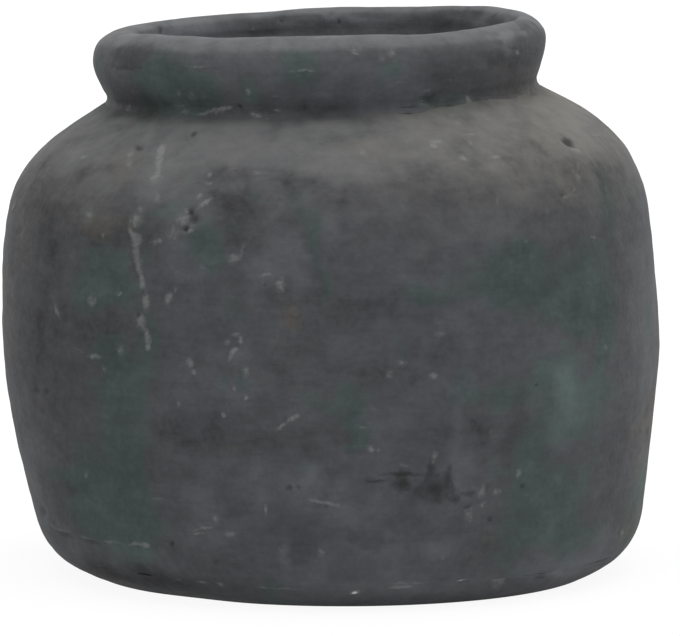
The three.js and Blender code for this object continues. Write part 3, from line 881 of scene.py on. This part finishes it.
bore_radius = NECK_RADIUS - NECK_LAND
wall_outside = evenly(above(outside, SEAM_HEIGHT), OUTSIDE_SPACING)
wall_inside = inset(above(outside, SEAM_HEIGHT), WALL)
seat_radius = wall_inside[0, 0]
wall_inside = evenly(wall_inside[wall_inside[:, 0] > bore_radius], INSIDE_SPACING)[::-1]
neck_face = np.array([wall_outside[-1], [bore_radius, NECK_HEIGHT], [bore_radius, wall_inside[0, 1]]])
seat_face = np.array([wall_inside[-1], [seat_radius, wall_outside[0, 1]], wall_outside[0]])
wall_profile = np.concatenate([
    wall_outside,
    evenly(neck_face, NECK_FACE_SPACING)[1:],
    wall_inside,
    evenly(seat_face, SEAT_SPACING)[1:-1],
])
print(f"wall profile of {len(wall_profile)} points, {len(wall_outside)} of them outside")

# %% Wear along the joints, and a ledge over the heel
# How far from each edge the clay's own relief is whole
FOOT_CLEAR, SEAM_CLEAR, NECK_CLEAR = 0.003, 0.002, 0.004

# Reach across the joint, depth and seed
LOW_WEAR = (0.0015, 0.00012, 41)
HIGH_WEAR = (0.0020, 0.0003, 43)

LEDGE_PROUD = 0.0010
LEDGE_HEIGHT = 0.0262
LEDGE_SPAN = (-162, -125)
LEDGE_FALL = 0.00003
LEDGE_WAVER = ((0.0008, 0.012, 71),)
LEDGE_EDGE = 0.0004
LEDGE_FADE = 0.006


def joint_wear(distance, points, reach, depth, seed):
    """A groove along a joint: depth times e^(-(distance/reach)^2), broken up by lattice noise, so that
    it is gone for half of the way."""
    ragged = layered(points, ((1, 0.014, seed), (0.6, 0.004, seed + 1)))
    return -depth * np.exp(-((distance / reach) ** 2)) * np.clip(ragged, 0, 1)


def ledge(points):
    """A lip of clay that hangs over the heel on the left: it stands proud just above a wavering line, fades
    out upwards and towards both ends, and is gone below the line."""
    azimuth = np.degrees(np.arctan2(points[..., 1], points[..., 0]))
    start, end = LEDGE_SPAN
    line = LEDGE_HEIGHT + layered(points * [1, 1, 0], LEDGE_WAVER) - LEDGE_FALL * (azimuth - start)
    over = points[..., 2] - line
    ends = smoothstep(start - 4, start + 6, azimuth) * smoothstep(end + 3, end - 12, azimuth)
    proud = LEDGE_PROUD * ends * smoothstep(-LEDGE_EDGE, LEDGE_EDGE, over)
    return proud * np.exp(-np.maximum(over, 0) / LEDGE_FADE)


# %% Relief of the wall
def wall_relief(points, profile):
    """The clay's own relief, fading out at the joint faces, with worn joints and the ledge outside."""
    height = profile[None, :, 1]
    outer = (np.arange(len(profile)) < len(wall_outside))[None, :]
    clear = smoothstep(0, SEAM_CLEAR, height - SEAM_HEIGHT) * smoothstep(0, NECK_CLEAR, NECK_HEIGHT - height)
    low_joint = joint_wear(height - SEAM_HEIGHT, points, *LOW_WEAR)
    high_joint = joint_wear(NECK_HEIGHT - height, points, *HIGH_WEAR)
    return clay_relief(points) * clear + np.where(outer, low_joint + high_joint + ledge(points), 0)


body_wall = turned_piece("pot_wall", "body_wall", wall_profile, wall_relief)

# %% [markdown]
# ## The rim collar
#
# The collar was thrown as a thick ring and set on the shoulder. Its flank flares out to a fat rolled
# lip, and a short spigot reaches down inside the neck. Soft luting clay fills the corner between flank
# and shoulder, which is a curve with its control point in the corner. Fingers left clear rings, so the
# relief has more of them.

# %% Outside of the collar, from the luting clay to the mouth
LIP_SPACING = 0.0012
FILLET = 0.0040
seat = (NECK_RADIUS, NECK_HEIGHT + CLEARANCE)
widest = (RIM_WIDEST_RADIUS, NECK_HEIGHT + RIM_WIDEST_UP)
lip_top = NECK_HEIGHT + RIM_HEIGHT
inner_centre = (LIP_TOP_RADIUS, lip_top - LIP_INNER_DROP)
flank = sweep(seat, FLANK_SLOPE, widest, UPRIGHT, FLANK_FULLNESS, 30)
flank = flank[np.linalg.norm(flank - np.array(seat), axis=1) > FILLET]
shoulder_slope = math.radians(NECK_SLOPE)
luted_from = np.array(seat) - FILLET * np.array([math.cos(shoulder_slope), math.sin(shoulder_slope)])
luted_from[1] -= 2 * CLEARANCE
share = np.linspace(0, 1, 8)[:, None]
fillet = (1 - share) ** 2 * luted_from + 2 * share * (1 - share) * np.array(seat) + share**2 * flank[0]
outer_across, outer_up = widest[0] - LIP_TOP_RADIUS, lip_top - widest[1]
outer_lip = round_over((LIP_TOP_RADIUS, widest[1]), outer_across, outer_up, 0, 1, 40)
inner_lip = round_over(inner_centre, LIP_TOP_RADIUS - LIP_INNER_RADIUS, LIP_INNER_DROP, 1, 2, 30)
collar_outside = np.concatenate([fillet, flank[1:], outer_lip[1:], inner_lip[1:]])
print(f"the lip's top is {1000 * lip_top:.1f} mm up before the pot settled")

# %% Hidden faces of the collar, and its whole profile
SPIGOT_SPACING = 0.002
spigot_radius = bore_radius - CLEARANCE
spigot_end = NECK_HEIGHT - SPIGOT_DEPTH
throat = np.array([
    inner_lip[-1],
    (spigot_radius - SPIGOT_WALL, NECK_HEIGHT),
    (spigot_radius - SPIGOT_WALL, spigot_end),
])
underside = evenly(np.array([
    throat[-1],
    (spigot_radius, spigot_end),
    (spigot_radius, seat[1]),
    seat,
    luted_from,
]), SPIGOT_SPACING)
collar_profile = np.concatenate([
    evenly(collar_outside, LIP_SPACING),
    evenly(throat, SPIGOT_SPACING)[1:],
    underside[1:-1],
])
print(f"collar profile of {len(collar_profile)} points")

# %% Relief of the collar
COLLAR_RINGS = ((0.0002, 0.004, 51),)
COLLAR_RING_DRAW = (0.1, 0.1, 1.0)
COLLAR_SWELLS = ((0.00035, 0.017, 57),)
LUTING = ((0.0004, 0.009, 53), (0.0003, 0.003, 54))


def collar_relief(points, profile):
    """The clay's own relief with extra finger rings, ragged luting at the foot, none on hidden faces."""
    height = profile[None, :, 1]
    hidden = (np.arange(len(profile)) >= len(profile) - len(underside))[None, :]
    clear = smoothstep(0, NECK_CLEAR, height - NECK_HEIGHT)
    rings = layered(points * COLLAR_RING_DRAW, COLLAR_RINGS) + layered(points, COLLAR_SWELLS)
    luting = layered(points, LUTING)
    return np.where(hidden, 0, (clay_relief(points) + rings) * clear + luting * (1 - clear))


rim_collar = turned_piece("pot_rim", "rim_collar", collar_profile, collar_relief)

# %% [markdown]
# ## The base slab
#
# The slab is a thick disc with a rounded edge. A small raised floor inside the wall keys the two
# together. Its underside is truly flat, because the pot stands on it. The profile stops a millimetre
# short of the axis on both faces, so that the grid keeps its squares, and closes on itself there.

# %% Profile and relief of the slab
AXIS_GAP = 0.001
ROUNDING = 1e-6
UNDERSIDE_SPACING = 0.012
KEY_SPACING = 0.003
slab_outside = outside[outside[:, 1] < SEAM_HEIGHT]
seam_radius = np.interp(SEAM_HEIGHT, outside[:, 1], outside[:, 0])
key_radius = seat_radius - CLEARANCE
key_face = np.array([(seam_radius, SEAM_HEIGHT), (key_radius, SEAM_HEIGHT), (key_radius, FLOOR)])
slab_profile = np.concatenate([
    evenly(np.array([(AXIS_GAP, 0), foot]), UNDERSIDE_SPACING)[:-1],
    evenly(np.concatenate([slab_outside, [(seam_radius, SEAM_HEIGHT)]]), OUTSIDE_SPACING),
    evenly(key_face, KEY_SPACING)[1:],
    evenly(np.array([(key_radius, FLOOR), (AXIS_GAP, FLOOR)]), INSIDE_SPACING)[1:],
])


def slab_relief(points, profile):
    """The clay's own relief on the rounded edge only, and a broken groove under the joint."""
    radius, height = profile[None, :, 0], profile[None, :, 1]
    edge = (radius > FOOT_RADIUS) & (height < SEAM_HEIGHT + ROUNDING)
    edge = edge & (radius >= seam_radius * height / SEAM_HEIGHT)
    clear = smoothstep(0, FOOT_CLEAR, height) * smoothstep(0, SEAM_CLEAR, SEAM_HEIGHT - height)
    groove = joint_wear(SEAM_HEIGHT - height, points, *LOW_WEAR)
    return np.where(edge, clay_relief(points) * clear + groove, 0)


base_slab = turned_piece("pot_base", "base_slab", slab_profile, slab_relief)

# %% [markdown]
# ## Torn bits of luting clay
#
# The collar and the slab were stuck on with soft clay, and where it squeezed out it dried as thin torn
# bits. Each is a pebble-shaped grid of points, flattened, roughened by noise and laid on the joint. All
# of them are one mesh, since they differ only in place, size and turn.

# %% The shape of a bit
BIT_ROWS, BIT_COLUMNS = 8, 12
BIT_POLE = 0.06
BIT_LUMPS = 0.35
BIT_LUMP_SIZE = 0.7
BIT_FLATNESS = 0.6
THICKEST_BIT = 0.0003


def pebble(mark, seed):
    """A lumpy, flattened ball over a mark, with its half length and half width from the mark's reach."""
    polar = np.linspace(BIT_POLE, math.pi - BIT_POLE, BIT_ROWS)[:, None]
    turn = np.linspace(0, 2 * math.pi, BIT_COLUMNS, endpoint=False)[None, :]
    x, y, z = np.sin(polar) * np.cos(turn), np.sin(polar) * np.sin(turn), np.cos(polar) + 0 * turn
    ball = np.stack([x, y, z], axis=-1)
    ball = ball * (1 + BIT_LUMPS * lumps(ball, BIT_LUMP_SIZE, seed))[..., None]
    size = np.array(mark.reach) / FADE / (1, SPREAD, 1)
    size[2] = min(BIT_FLATNESS * size[1], THICKEST_BIT)
    return np.array(mark.place) + ball * size @ np.array(mark.axes).T


def pebble_faces():
    """The squares of a closed grid without its last row, and a flat cap on each end ring."""
    squares = grid_faces(BIT_ROWS, BIT_COLUMNS)[:-BIT_COLUMNS].tolist()
    first, last = range(BIT_COLUMNS), range((BIT_ROWS - 1) * BIT_COLUMNS, BIT_ROWS * BIT_COLUMNS)
    return squares + [list(first)[::-1], list(last)]


# %% Bits along the joints
NECK_TILT = 0.0042
SEEN_BITS = ("line", "line_bright", "bit_first", "bit_second", "bit_third")
SEEN_BITS += ("left_dot", "right_line", "step")
graph = bpy.context.evaluated_depsgraph_get()
for piece, node in ((base_slab, "base_slab"), (body_wall, "body_wall"), (rim_collar, "rim_collar")):
    skins[node] = BVHTree.FromObject(piece, graph)
joint_bits = photo_marks({name: collar_marks[name] for name in SEEN_BITS})
for azimuth in np.arange(14, 155, 9):
    turn = azimuth + around.uniform(-4, 4)
    length, width = around.uniform(0.0012, 0.0035), around.uniform(0.0004, 0.0008)
    neck_height = NECK_HEIGHT + NECK_TILT * math.cos(math.radians(turn))
    joint_bits.append(round_mark(turn, neck_height, length, width, around.uniform(-8, 8), 0.7))
    seam = (turn + 4, SEAM_HEIGHT + 0.001)
    joint_bits.append(round_mark(*seam, 0.7 * length, width, around.uniform(-8, 8), 0.7))
bit_points = np.stack([pebble(mark, seed) for seed, mark in enumerate(joint_bits)])
per_bit = BIT_ROWS * BIT_COLUMNS
bit_faces = []
for bit in range(len(joint_bits)):
    bit_faces += [[corner + per_bit * bit for corner in face] for face in pebble_faces()]
luting_bits = add_piece("luting_bits", bit_points, bit_faces)
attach(luting_bits, "root")
print(f"{len(joint_bits)} bits of luting clay, {len(bit_faces)} faces")

# %% [markdown]
# ## Shader maths as Python
#
# A finish is arithmetic on patterns: a cloud of noise times a colour, plus a streak. Wired by hand that
# is a thicket of Math nodes. Here a socket is wrapped in a small class with the operators of Python, so
# that an expression such as 1 - mask * 0.4 adds its own nodes. Colours and vectors go through Mix and
# Vector Math. Every node comes from one method of the tree that it stands in, whether that is a
# material or the world.


# %% A socket with operators
class Socket:
    """A value in a node tree. Each operator adds one Math node and gives its result."""

    def __init__(self, tree, socket):
        self.tree = tree
        self.socket = socket

    def maths(self, operation, *values):
        """The result of one Math node."""
        return self.tree.node("Math", {"operation": operation}, dict(enumerate(values)))

    def __add__(self, other):
        return self.maths("ADD", self, other)

    def __radd__(self, other):
        return self.maths("ADD", other, self)

    def __sub__(self, other):
        return self.maths("SUBTRACT", self, other)

    def __rsub__(self, other):
        return self.maths("SUBTRACT", other, self)

    def __mul__(self, other):
        return self.maths("MULTIPLY", self, other)

    def __rmul__(self, other):
        return self.maths("MULTIPLY", other, self)

    def step(self, low, high):
        """0 at low and 1 at high, smooth between and level beyond; low may be the greater of the two."""
        settings = {"interpolation_type": "SMOOTHSTEP"}
        if low < high:
            return self.tree.node("MapRange", settings, {0: self, 1: low, 2: high, 3: 0, 4: 1})
        return self.tree.node("MapRange", settings, {0: self, 1: high, 2: low, 3: 1, 4: 0})


# %% A tree that makes nodes
class Tree:
    """The node tree of a material or of the world, and the methods that add nodes to it."""

    def __init__(self, owner):
        owner.use_nodes = True
        self.nodes = owner.node_tree.nodes
        self.links = owner.node_tree.links

    def plug(self, value, socket):
        """Links a value of this tree to a socket, or sets the socket to a plain one."""
        if isinstance(value, Socket):
            self.links.new(value.socket, socket)
        else:
            socket.default_value = value

    def node(self, kind, settings=None, values=None, output=0):
        """Adds any node: settings first, then the values or links of its sockets. Gives one output."""
        node = self.nodes.new("ShaderNode" + kind)
        for name, setting in (settings or {}).items():
            setattr(node, name, setting)
        for name, value in (values or {}).items():
            self.plug(value, node.inputs[name])
        return Socket(self, node.outputs[output] if node.outputs else None)

    def mix(self, share, first, second):
        """The first colour where share is 0, the second where it is 1."""
        settings = {"data_type": "RGBA", "clamp_factor": True}
        return self.node("Mix", settings, {0: share, 6: first, 7: second}, output=2)

    def noise(self, place, size, detail=3, roughness=0.5, output="Fac"):
        """Fractal noise from 0 to 1 whose largest lumps measure about size, in metres."""
        values = {"Vector": place, "Scale": 1 / size, "Detail": detail, "Roughness": roughness}
        return self.node("TexNoise", {}, values, output)

    def part(self, vector, axis):
        """One of the three parts of a vector."""
        return self.node("SeparateXYZ", {}, {0: vector}, output=axis)

    def stretched(self, place, scale):
        """The place with each axis scaled: a pattern on it is drawn out where the scale is small."""
        return self.node("Mapping", {}, {"Vector": place, "Scale": scale})

    def ragged(self, place, size, amount):
        """The place moved by noise of this size, by up to half the amount, so that shapes on it fray."""
        wander = self.noise(place, size, 2, output="Color")
        wander = self.node("VectorMath", {"operation": "SUBTRACT"}, {0: wander, 1: (0.5, 0.5, 0.5)})
        values = {0: wander, 1: (amount,) * 3, 2: place}
        return self.node("VectorMath", {"operation": "MULTIPLY_ADD"}, values)

    def ball(self, place, **values):
        """1 in the middle of a ball and 0 at its edge; values move, turn and stretch the ball."""
        values = {"Vector": place, **{name.title(): value for name, value in values.items()}}
        local = self.node("Mapping", {"vector_type": "TEXTURE"}, values)
        return self.node("TexGradient", {"gradient_type": "SPHERICAL"}, {"Vector": local}, output=1)

    def marks(self, place, marks):
        """The marks added up, each a ball in the mark's shape, times the mark's strength."""
        total = 0
        for mark in marks:
            ball = self.ball(place, location=mark.place, rotation=mark.axes.to_euler(), scale=mark.reach)
            total = self.node("Math", {"operation": "MULTIPLY_ADD"}, {0: ball, 1: mark.strength, 2: total})
        return total


def srgb(red, green, blue):
    """A screen colour from 0 to 255 as the linear numbers that a shader takes."""
    screen = np.array([red, green, blue]) / 255
    linear = np.where(screen <= 0.04045, screen / 12.92, ((screen + 0.055) / 1.055) ** 2.4)
    return (*linear.tolist(), 1)


# %% [markdown]
# ## The clay finish
#
# Smoke-fired clay is matt and dark, but never one grey. From large to small it has the broad clouds, a
# mottle a few millimetres across, faint lines that the potter's fingers drew round it, and grit. Light
# dust lies on what faces upwards, more of it on the sunnier right side. The lip's top is paler, partly
# rubbed and partly painted light where it faces upwards. Chalk and painted highlights sit in the pale
# marks, and soot and painted shade in the dark ones. The crease under the collar is darker with painted
# shade and some soot, and the lowest edge of the foot with a painted contact shadow. One function makes
# the finish of all three pieces, so that the patterns run on over the joints, and only the amounts differ.

# %% Colours and patterns of the clay
GREY = srgb(74, 75, 78)
GREEN_GREY = srgb(65, 76, 74)
WARM_GREY = srgb(80, 78, 75)
BLUE_GREY = srgb(73, 74, 78)
DUST = srgb(108, 108, 108)
SUNNY_DUST = srgb(120, 118, 113)
# Chalk of the pale marks, also the colour of painted highlights on torn clay, the ledge and the lip
CHALK_AND_HIGHLIGHT = srgb(143, 145, 143)
WHITE_CHIP = srgb(225, 226, 220)
# Soot of the dark marks, also the colour of painted shade in pits, under torn clay and ledges, along the
# joints and inside the lip
SOOT_AND_SHADE = srgb(40, 40, 41)
# Rubbed clay of the lip's top, also painted light where it faces upwards
RUBBED_AND_LIT = srgb(112, 113, 115)

# How far each pattern is drawn out sideways, its size in metres, its detail and its roughness
PATTERNS = {
    "patchy": (0.5, 0.026, 5, 0.62),
    "blotch": (1, 0.011, 4, 0.6),
    "grit": (1, 0.0028, 3, 0.6),
    "wisps": (0.35, 0.0028, 3, 0.6),
    "rings": (0.06, 0.003, 3, 0.6),
}
Patterns = collections.namedtuple("Patterns", PATTERNS)


def clay_patterns(tree, place):
    """All the patterns at a place, each from -0.5 to 0.5."""
    patterns = []
    for squeeze, size, detail, roughness in PATTERNS.values():
        drawn_out = tree.stretched(place, (squeeze, squeeze, 1))
        patterns.append(tree.noise(drawn_out, size, detail, roughness) - 0.5)
    return Patterns(*patterns)


# %% Layers of the clay finish
LEVEL_ENOUGH = (0.1, 0.85)
CHIP_STRENGTH = (1.3, 2.0)


def tinted(tree, patterns, green, warm):
    """The clay's own colour: grey, and greener, warmer and bluer where clouds and patterns say so."""
    speckle = 0.9 * patterns.blotch + 0.5 * patterns.grit + 0.3 * patterns.wisps
    colour = tree.mix((green + patterns.patchy + speckle).step(0.02, 0.6), GREY, GREEN_GREY)
    colour = tree.mix((warm - patterns.patchy + speckle).step(0.2, 0.9), colour, WARM_GREY)
    return tree.mix((speckle - warm).step(0.1, 0.8), colour, BLUE_GREY)


def shadowed(x, z, height, crease_shade_and_soot):
    """Painted shade: how much darker the crease under the collar is, with some soot in it, less on the
    right, and a painted contact shadow along the foot's lowest edge, most of all away from the middle."""
    below = height.step(NECK_HEIGHT - 0.006, NECK_HEIGHT - 0.0025)
    above_neck = height.step(NECK_HEIGHT + 0.006, NECK_HEIGHT)
    crease = below * above_neck * crease_shade_and_soot * (1 - 0.6 * x.step(0, 0.06))
    aside = (x * x).step(0.0002, 0.003)
    # The last two terms are a painted contact shadow on the lowest few millimetres of the foot
    return crease + z.step(0.004, 0) * 0.35 + z.step(0.002, 0.0006) * 0.35 * aside


def dusted(tree, colour, patterns, light, joint, up, x, amount):
    """The colour under the dust that lies on what faces upwards, thicker and warmer on the sunny side."""
    sun = x.step(-0.02, 0.1)
    thickness = 0.8 + 2 * patterns.patchy + 1.4 * patterns.blotch + 0.9 * light
    lying = up.step(*LEVEL_ENOUGH) * thickness * (0.85 + 0.15 * sun) * (1 - joint) * amount
    return tree.mix(lying, colour, tree.mix(sun, DUST, SUNNY_DUST))


def marked(tree, colour, node, place):
    """The colour under the soot and painted shade of the dark marks, and the chalk and painted highlights of
    the pale ones. Each mark has a soft part, and a crisp one whose edge is broken up by crumbs."""
    frayed = tree.ragged(tree.ragged(place, 0.007, 0.003), 0.002, 0.0012)
    crumbs = tree.noise(place, 0.003, 4, 0.7) - 0.5
    soot_and_shade = tree.marks(frayed, on(node, DARK_MARKS))
    crisp = (soot_and_shade + 1.2 * crumbs).step(0.1, 0.6) * soot_and_shade.step(0, 0.15)
    soot_and_shade_share = soot_and_shade.step(0, 0.5) * 0.15 + crisp * 0.4 + soot_and_shade.step(0.6, 1.1) * 0.35
    chalk_and_highlight = tree.marks(frayed, on(node, PALE_MARKS))
    crisp = (chalk_and_highlight + 2.2 * crumbs).step(0.1, 0.75) * chalk_and_highlight.step(0, 0.15)
    chalk_and_highlight_share = chalk_and_highlight.step(0, 0.5) * 0.12 + crisp * 0.3
    colour = tree.mix(chalk_and_highlight_share, tree.mix(soot_and_shade_share, colour, SOOT_AND_SHADE), CHALK_AND_HIGHLIGHT)
    return tree.mix(chalk_and_highlight.step(*CHIP_STRENGTH), colour, WHITE_CHIP)


# %% The whole clay finish
SPECULAR = 0.35
BUMP_STRENGTH = 0.5
BUMP_HEIGHT = 0.0006


def clay(name, node, dust_amount, rubbed_and_lit_amount, crease_shade_and_soot, roughness):
    """The finish of one CAD node, with the marks that lie on it."""
    material = bpy.data.materials.new(name)
    tree = Tree(material)
    place = tree.node("TexCoord", output="Object")
    patterns = clay_patterns(tree, place)
    clouds = tree.node("Attribute", {"attribute_name": "clouds"}, output="Vector")
    green, warm, light = (tree.part(clouds, axis) for axis in range(3))
    x, z = tree.part(place, 0), tree.part(place, 2)
    up = tree.part(tree.node("NewGeometry", output="Normal"), 2)
    height = z - SIDE_TILT * (x + LEAN * z)
    # Painted shade of the crease under the collar, with some soot, and the painted contact shadow at the
    # foot
    joint = shadowed(x, z, height, crease_shade_and_soot)

    # The light clouds add lighter and darker clay, and in places painted light and shade
    value = 1.015 + 1.15 * light + 1.0 * patterns.patchy + 0.9 * patterns.blotch
    value = value + 0.5 * patterns.grit + 0.4 * patterns.wisps + 0.2 * patterns.rings
    colour = tinted(tree, patterns, green, warm)
    scaled = {0: colour, "Scale": value * (1 - joint)}
    colour = tree.node("VectorMath", {"operation": "SCALE"}, scaled)
    colour = dusted(tree, colour, patterns, light, joint, up, x, dust_amount)
    # The lip's upward faces are paler: rubbed clay and painted light
    rubbed_and_lit = up.step(0.45, 0.75) * height.step(NECK_HEIGHT + 0.012, NECK_HEIGHT + 0.02) * rubbed_and_lit_amount
    colour = tree.mix(rubbed_and_lit * (1 + 2.5 * patterns.blotch + 2 * light), colour, RUBBED_AND_LIT)
    colour = marked(tree, colour, node, place)

    relief = patterns.grit + 0.7 * patterns.rings + patterns.blotch
    bump = tree.node("Bump", {}, {"Height": relief, "Strength": BUMP_STRENGTH, "Distance": BUMP_HEIGHT})
    shader = {"Base Color": colour, "Roughness": roughness, "Normal": bump, "Specular IOR Level": SPECULAR}
    for socket, value in shader.items():
        tree.plug(value, tree.nodes["Principled BSDF"].inputs[socket])
    print(f"{name}: {len(tree.nodes)} nodes")
    return material


# %% Clay on the pieces
# Arguments: dust, the lip's rubbed clay with painted light, the crease's painted shade with soot, roughness
body_wall.data.materials.append(clay("grey_clay", "body_wall", 0.8, 0, 0.36, 0.85))
rim_clay = clay("rim_clay", "rim_collar", 0.2, 0.6, 0.12, 0.8)
for piece in (rim_collar, luting_bits):
    piece.data.materials.append(rim_clay)
# The slab's clay, whose lowest edge carries the painted contact shadow from shadowed()
base_slab.data.materials.append(clay("smoked_clay", "base_slab", 0, 0, 0, 0.9))

# %% [markdown]
# ## Light and ground
#
# Soft light from above, from the front and from both sides behind, as in a white photographic tent.
# What the camera sees behind the pot is white, and so is what a reflection sees, but that white adds no
# light to the clay. The ground glows white in the same way, a little less near the pot, so that it
# keeps the pot's soft shadow.

# %% Lamps
# Each lamp's place, its width and height, and its power in watts
LAMPS = {
    "top_light": ((0.1, -0.2, 1.6), (1.6, 1.6), 15),
    "left_light": ((-0.95, 1.2, 0.5), (0.6, 1.4), 5),
    "right_light": ((1.05, 1.0, 0.5), (0.6, 1.4), 6),
    "front_light": ((0, -2.4, 0.7), (2.0, 1.4), 12),
}
for name, (place, size, power) in LAMPS.items():
    lamp = bpy.data.objects.new(name, bpy.data.lights.new(name, "AREA"))
    lamp.data.shape = "RECTANGLE"
    lamp.data.size, lamp.data.size_y = size
    lamp.data.energy = power
    lamp.location = place
    lamp.rotation_euler = (aim - Vector(place)).to_track_quat("-Z", "Y").to_euler()
    scene.collection.objects.link(lamp)
print(f"{len(LAMPS)} lamps")


# %% World
def seen(tree):
    """1 where the camera or a reflection looks, 0 for light that falls on something."""
    looks = tree.node("LightPath", output="Is Camera Ray")
    for ray in ("Is Glossy Ray", "Is Transmission Ray"):
        looks = looks.maths("MAXIMUM", looks, tree.node("LightPath", output=ray))
    return looks


def end_tree(tree, output, share, lit, white):
    """Ends a tree in a Mix Shader: what is lit where share is 0, plain white where it is 1."""
    tree.node(output, {}, {"Surface": tree.node("MixShader", {}, {0: share, 1: lit, 2: white})})


TENT_LIGHT = 0.35
world = bpy.data.worlds.new("white_tent")
scene.world = world
sky = Tree(world)
sky.nodes.clear()
daylight = sky.node("Background", {}, {"Color": (1, 1, 1, 1), "Strength": TENT_LIGHT})
end_tree(sky, "OutputWorld", seen(sky), daylight, sky.node("Background"))
print(f"world of {len(sky.nodes)} nodes")

# %% Floor
FLOOR_SPAN = 12
FLOOR_DROP = 0.0002
KEPT_SHADOW = 0.15
SHADOW_SPAN = 0.5
PAPER = (0.8, 0.8, 0.8, 1)
GLOW = 1.08
corners = FLOOR_SPAN * np.array([[-1, -1, 0], [1, -1, 0], [1, 1, 0], [-1, 1, 0]])
floor = add_piece("floor", corners - [0, 0, FLOOR_DROP], [(0, 1, 2, 3)])
paper = bpy.data.materials.new("white_paper")
ground = Tree(paper)
ground.nodes.clear()
near = ground.ball(ground.node("TexCoord", output="Object"), scale=(SHADOW_SPAN,) * 3)
share = (1 - near.step(0, 0.5) * KEPT_SHADOW) * seen(ground)
lit = ground.node("BsdfDiffuse", {}, {"Color": PAPER})
end_tree(ground, "OutputMaterial", share, lit, ground.node("Emission", {}, {"Strength": GLOW}))
floor.data.materials.append(paper)

scene.view_settings.view_transform = "Standard"
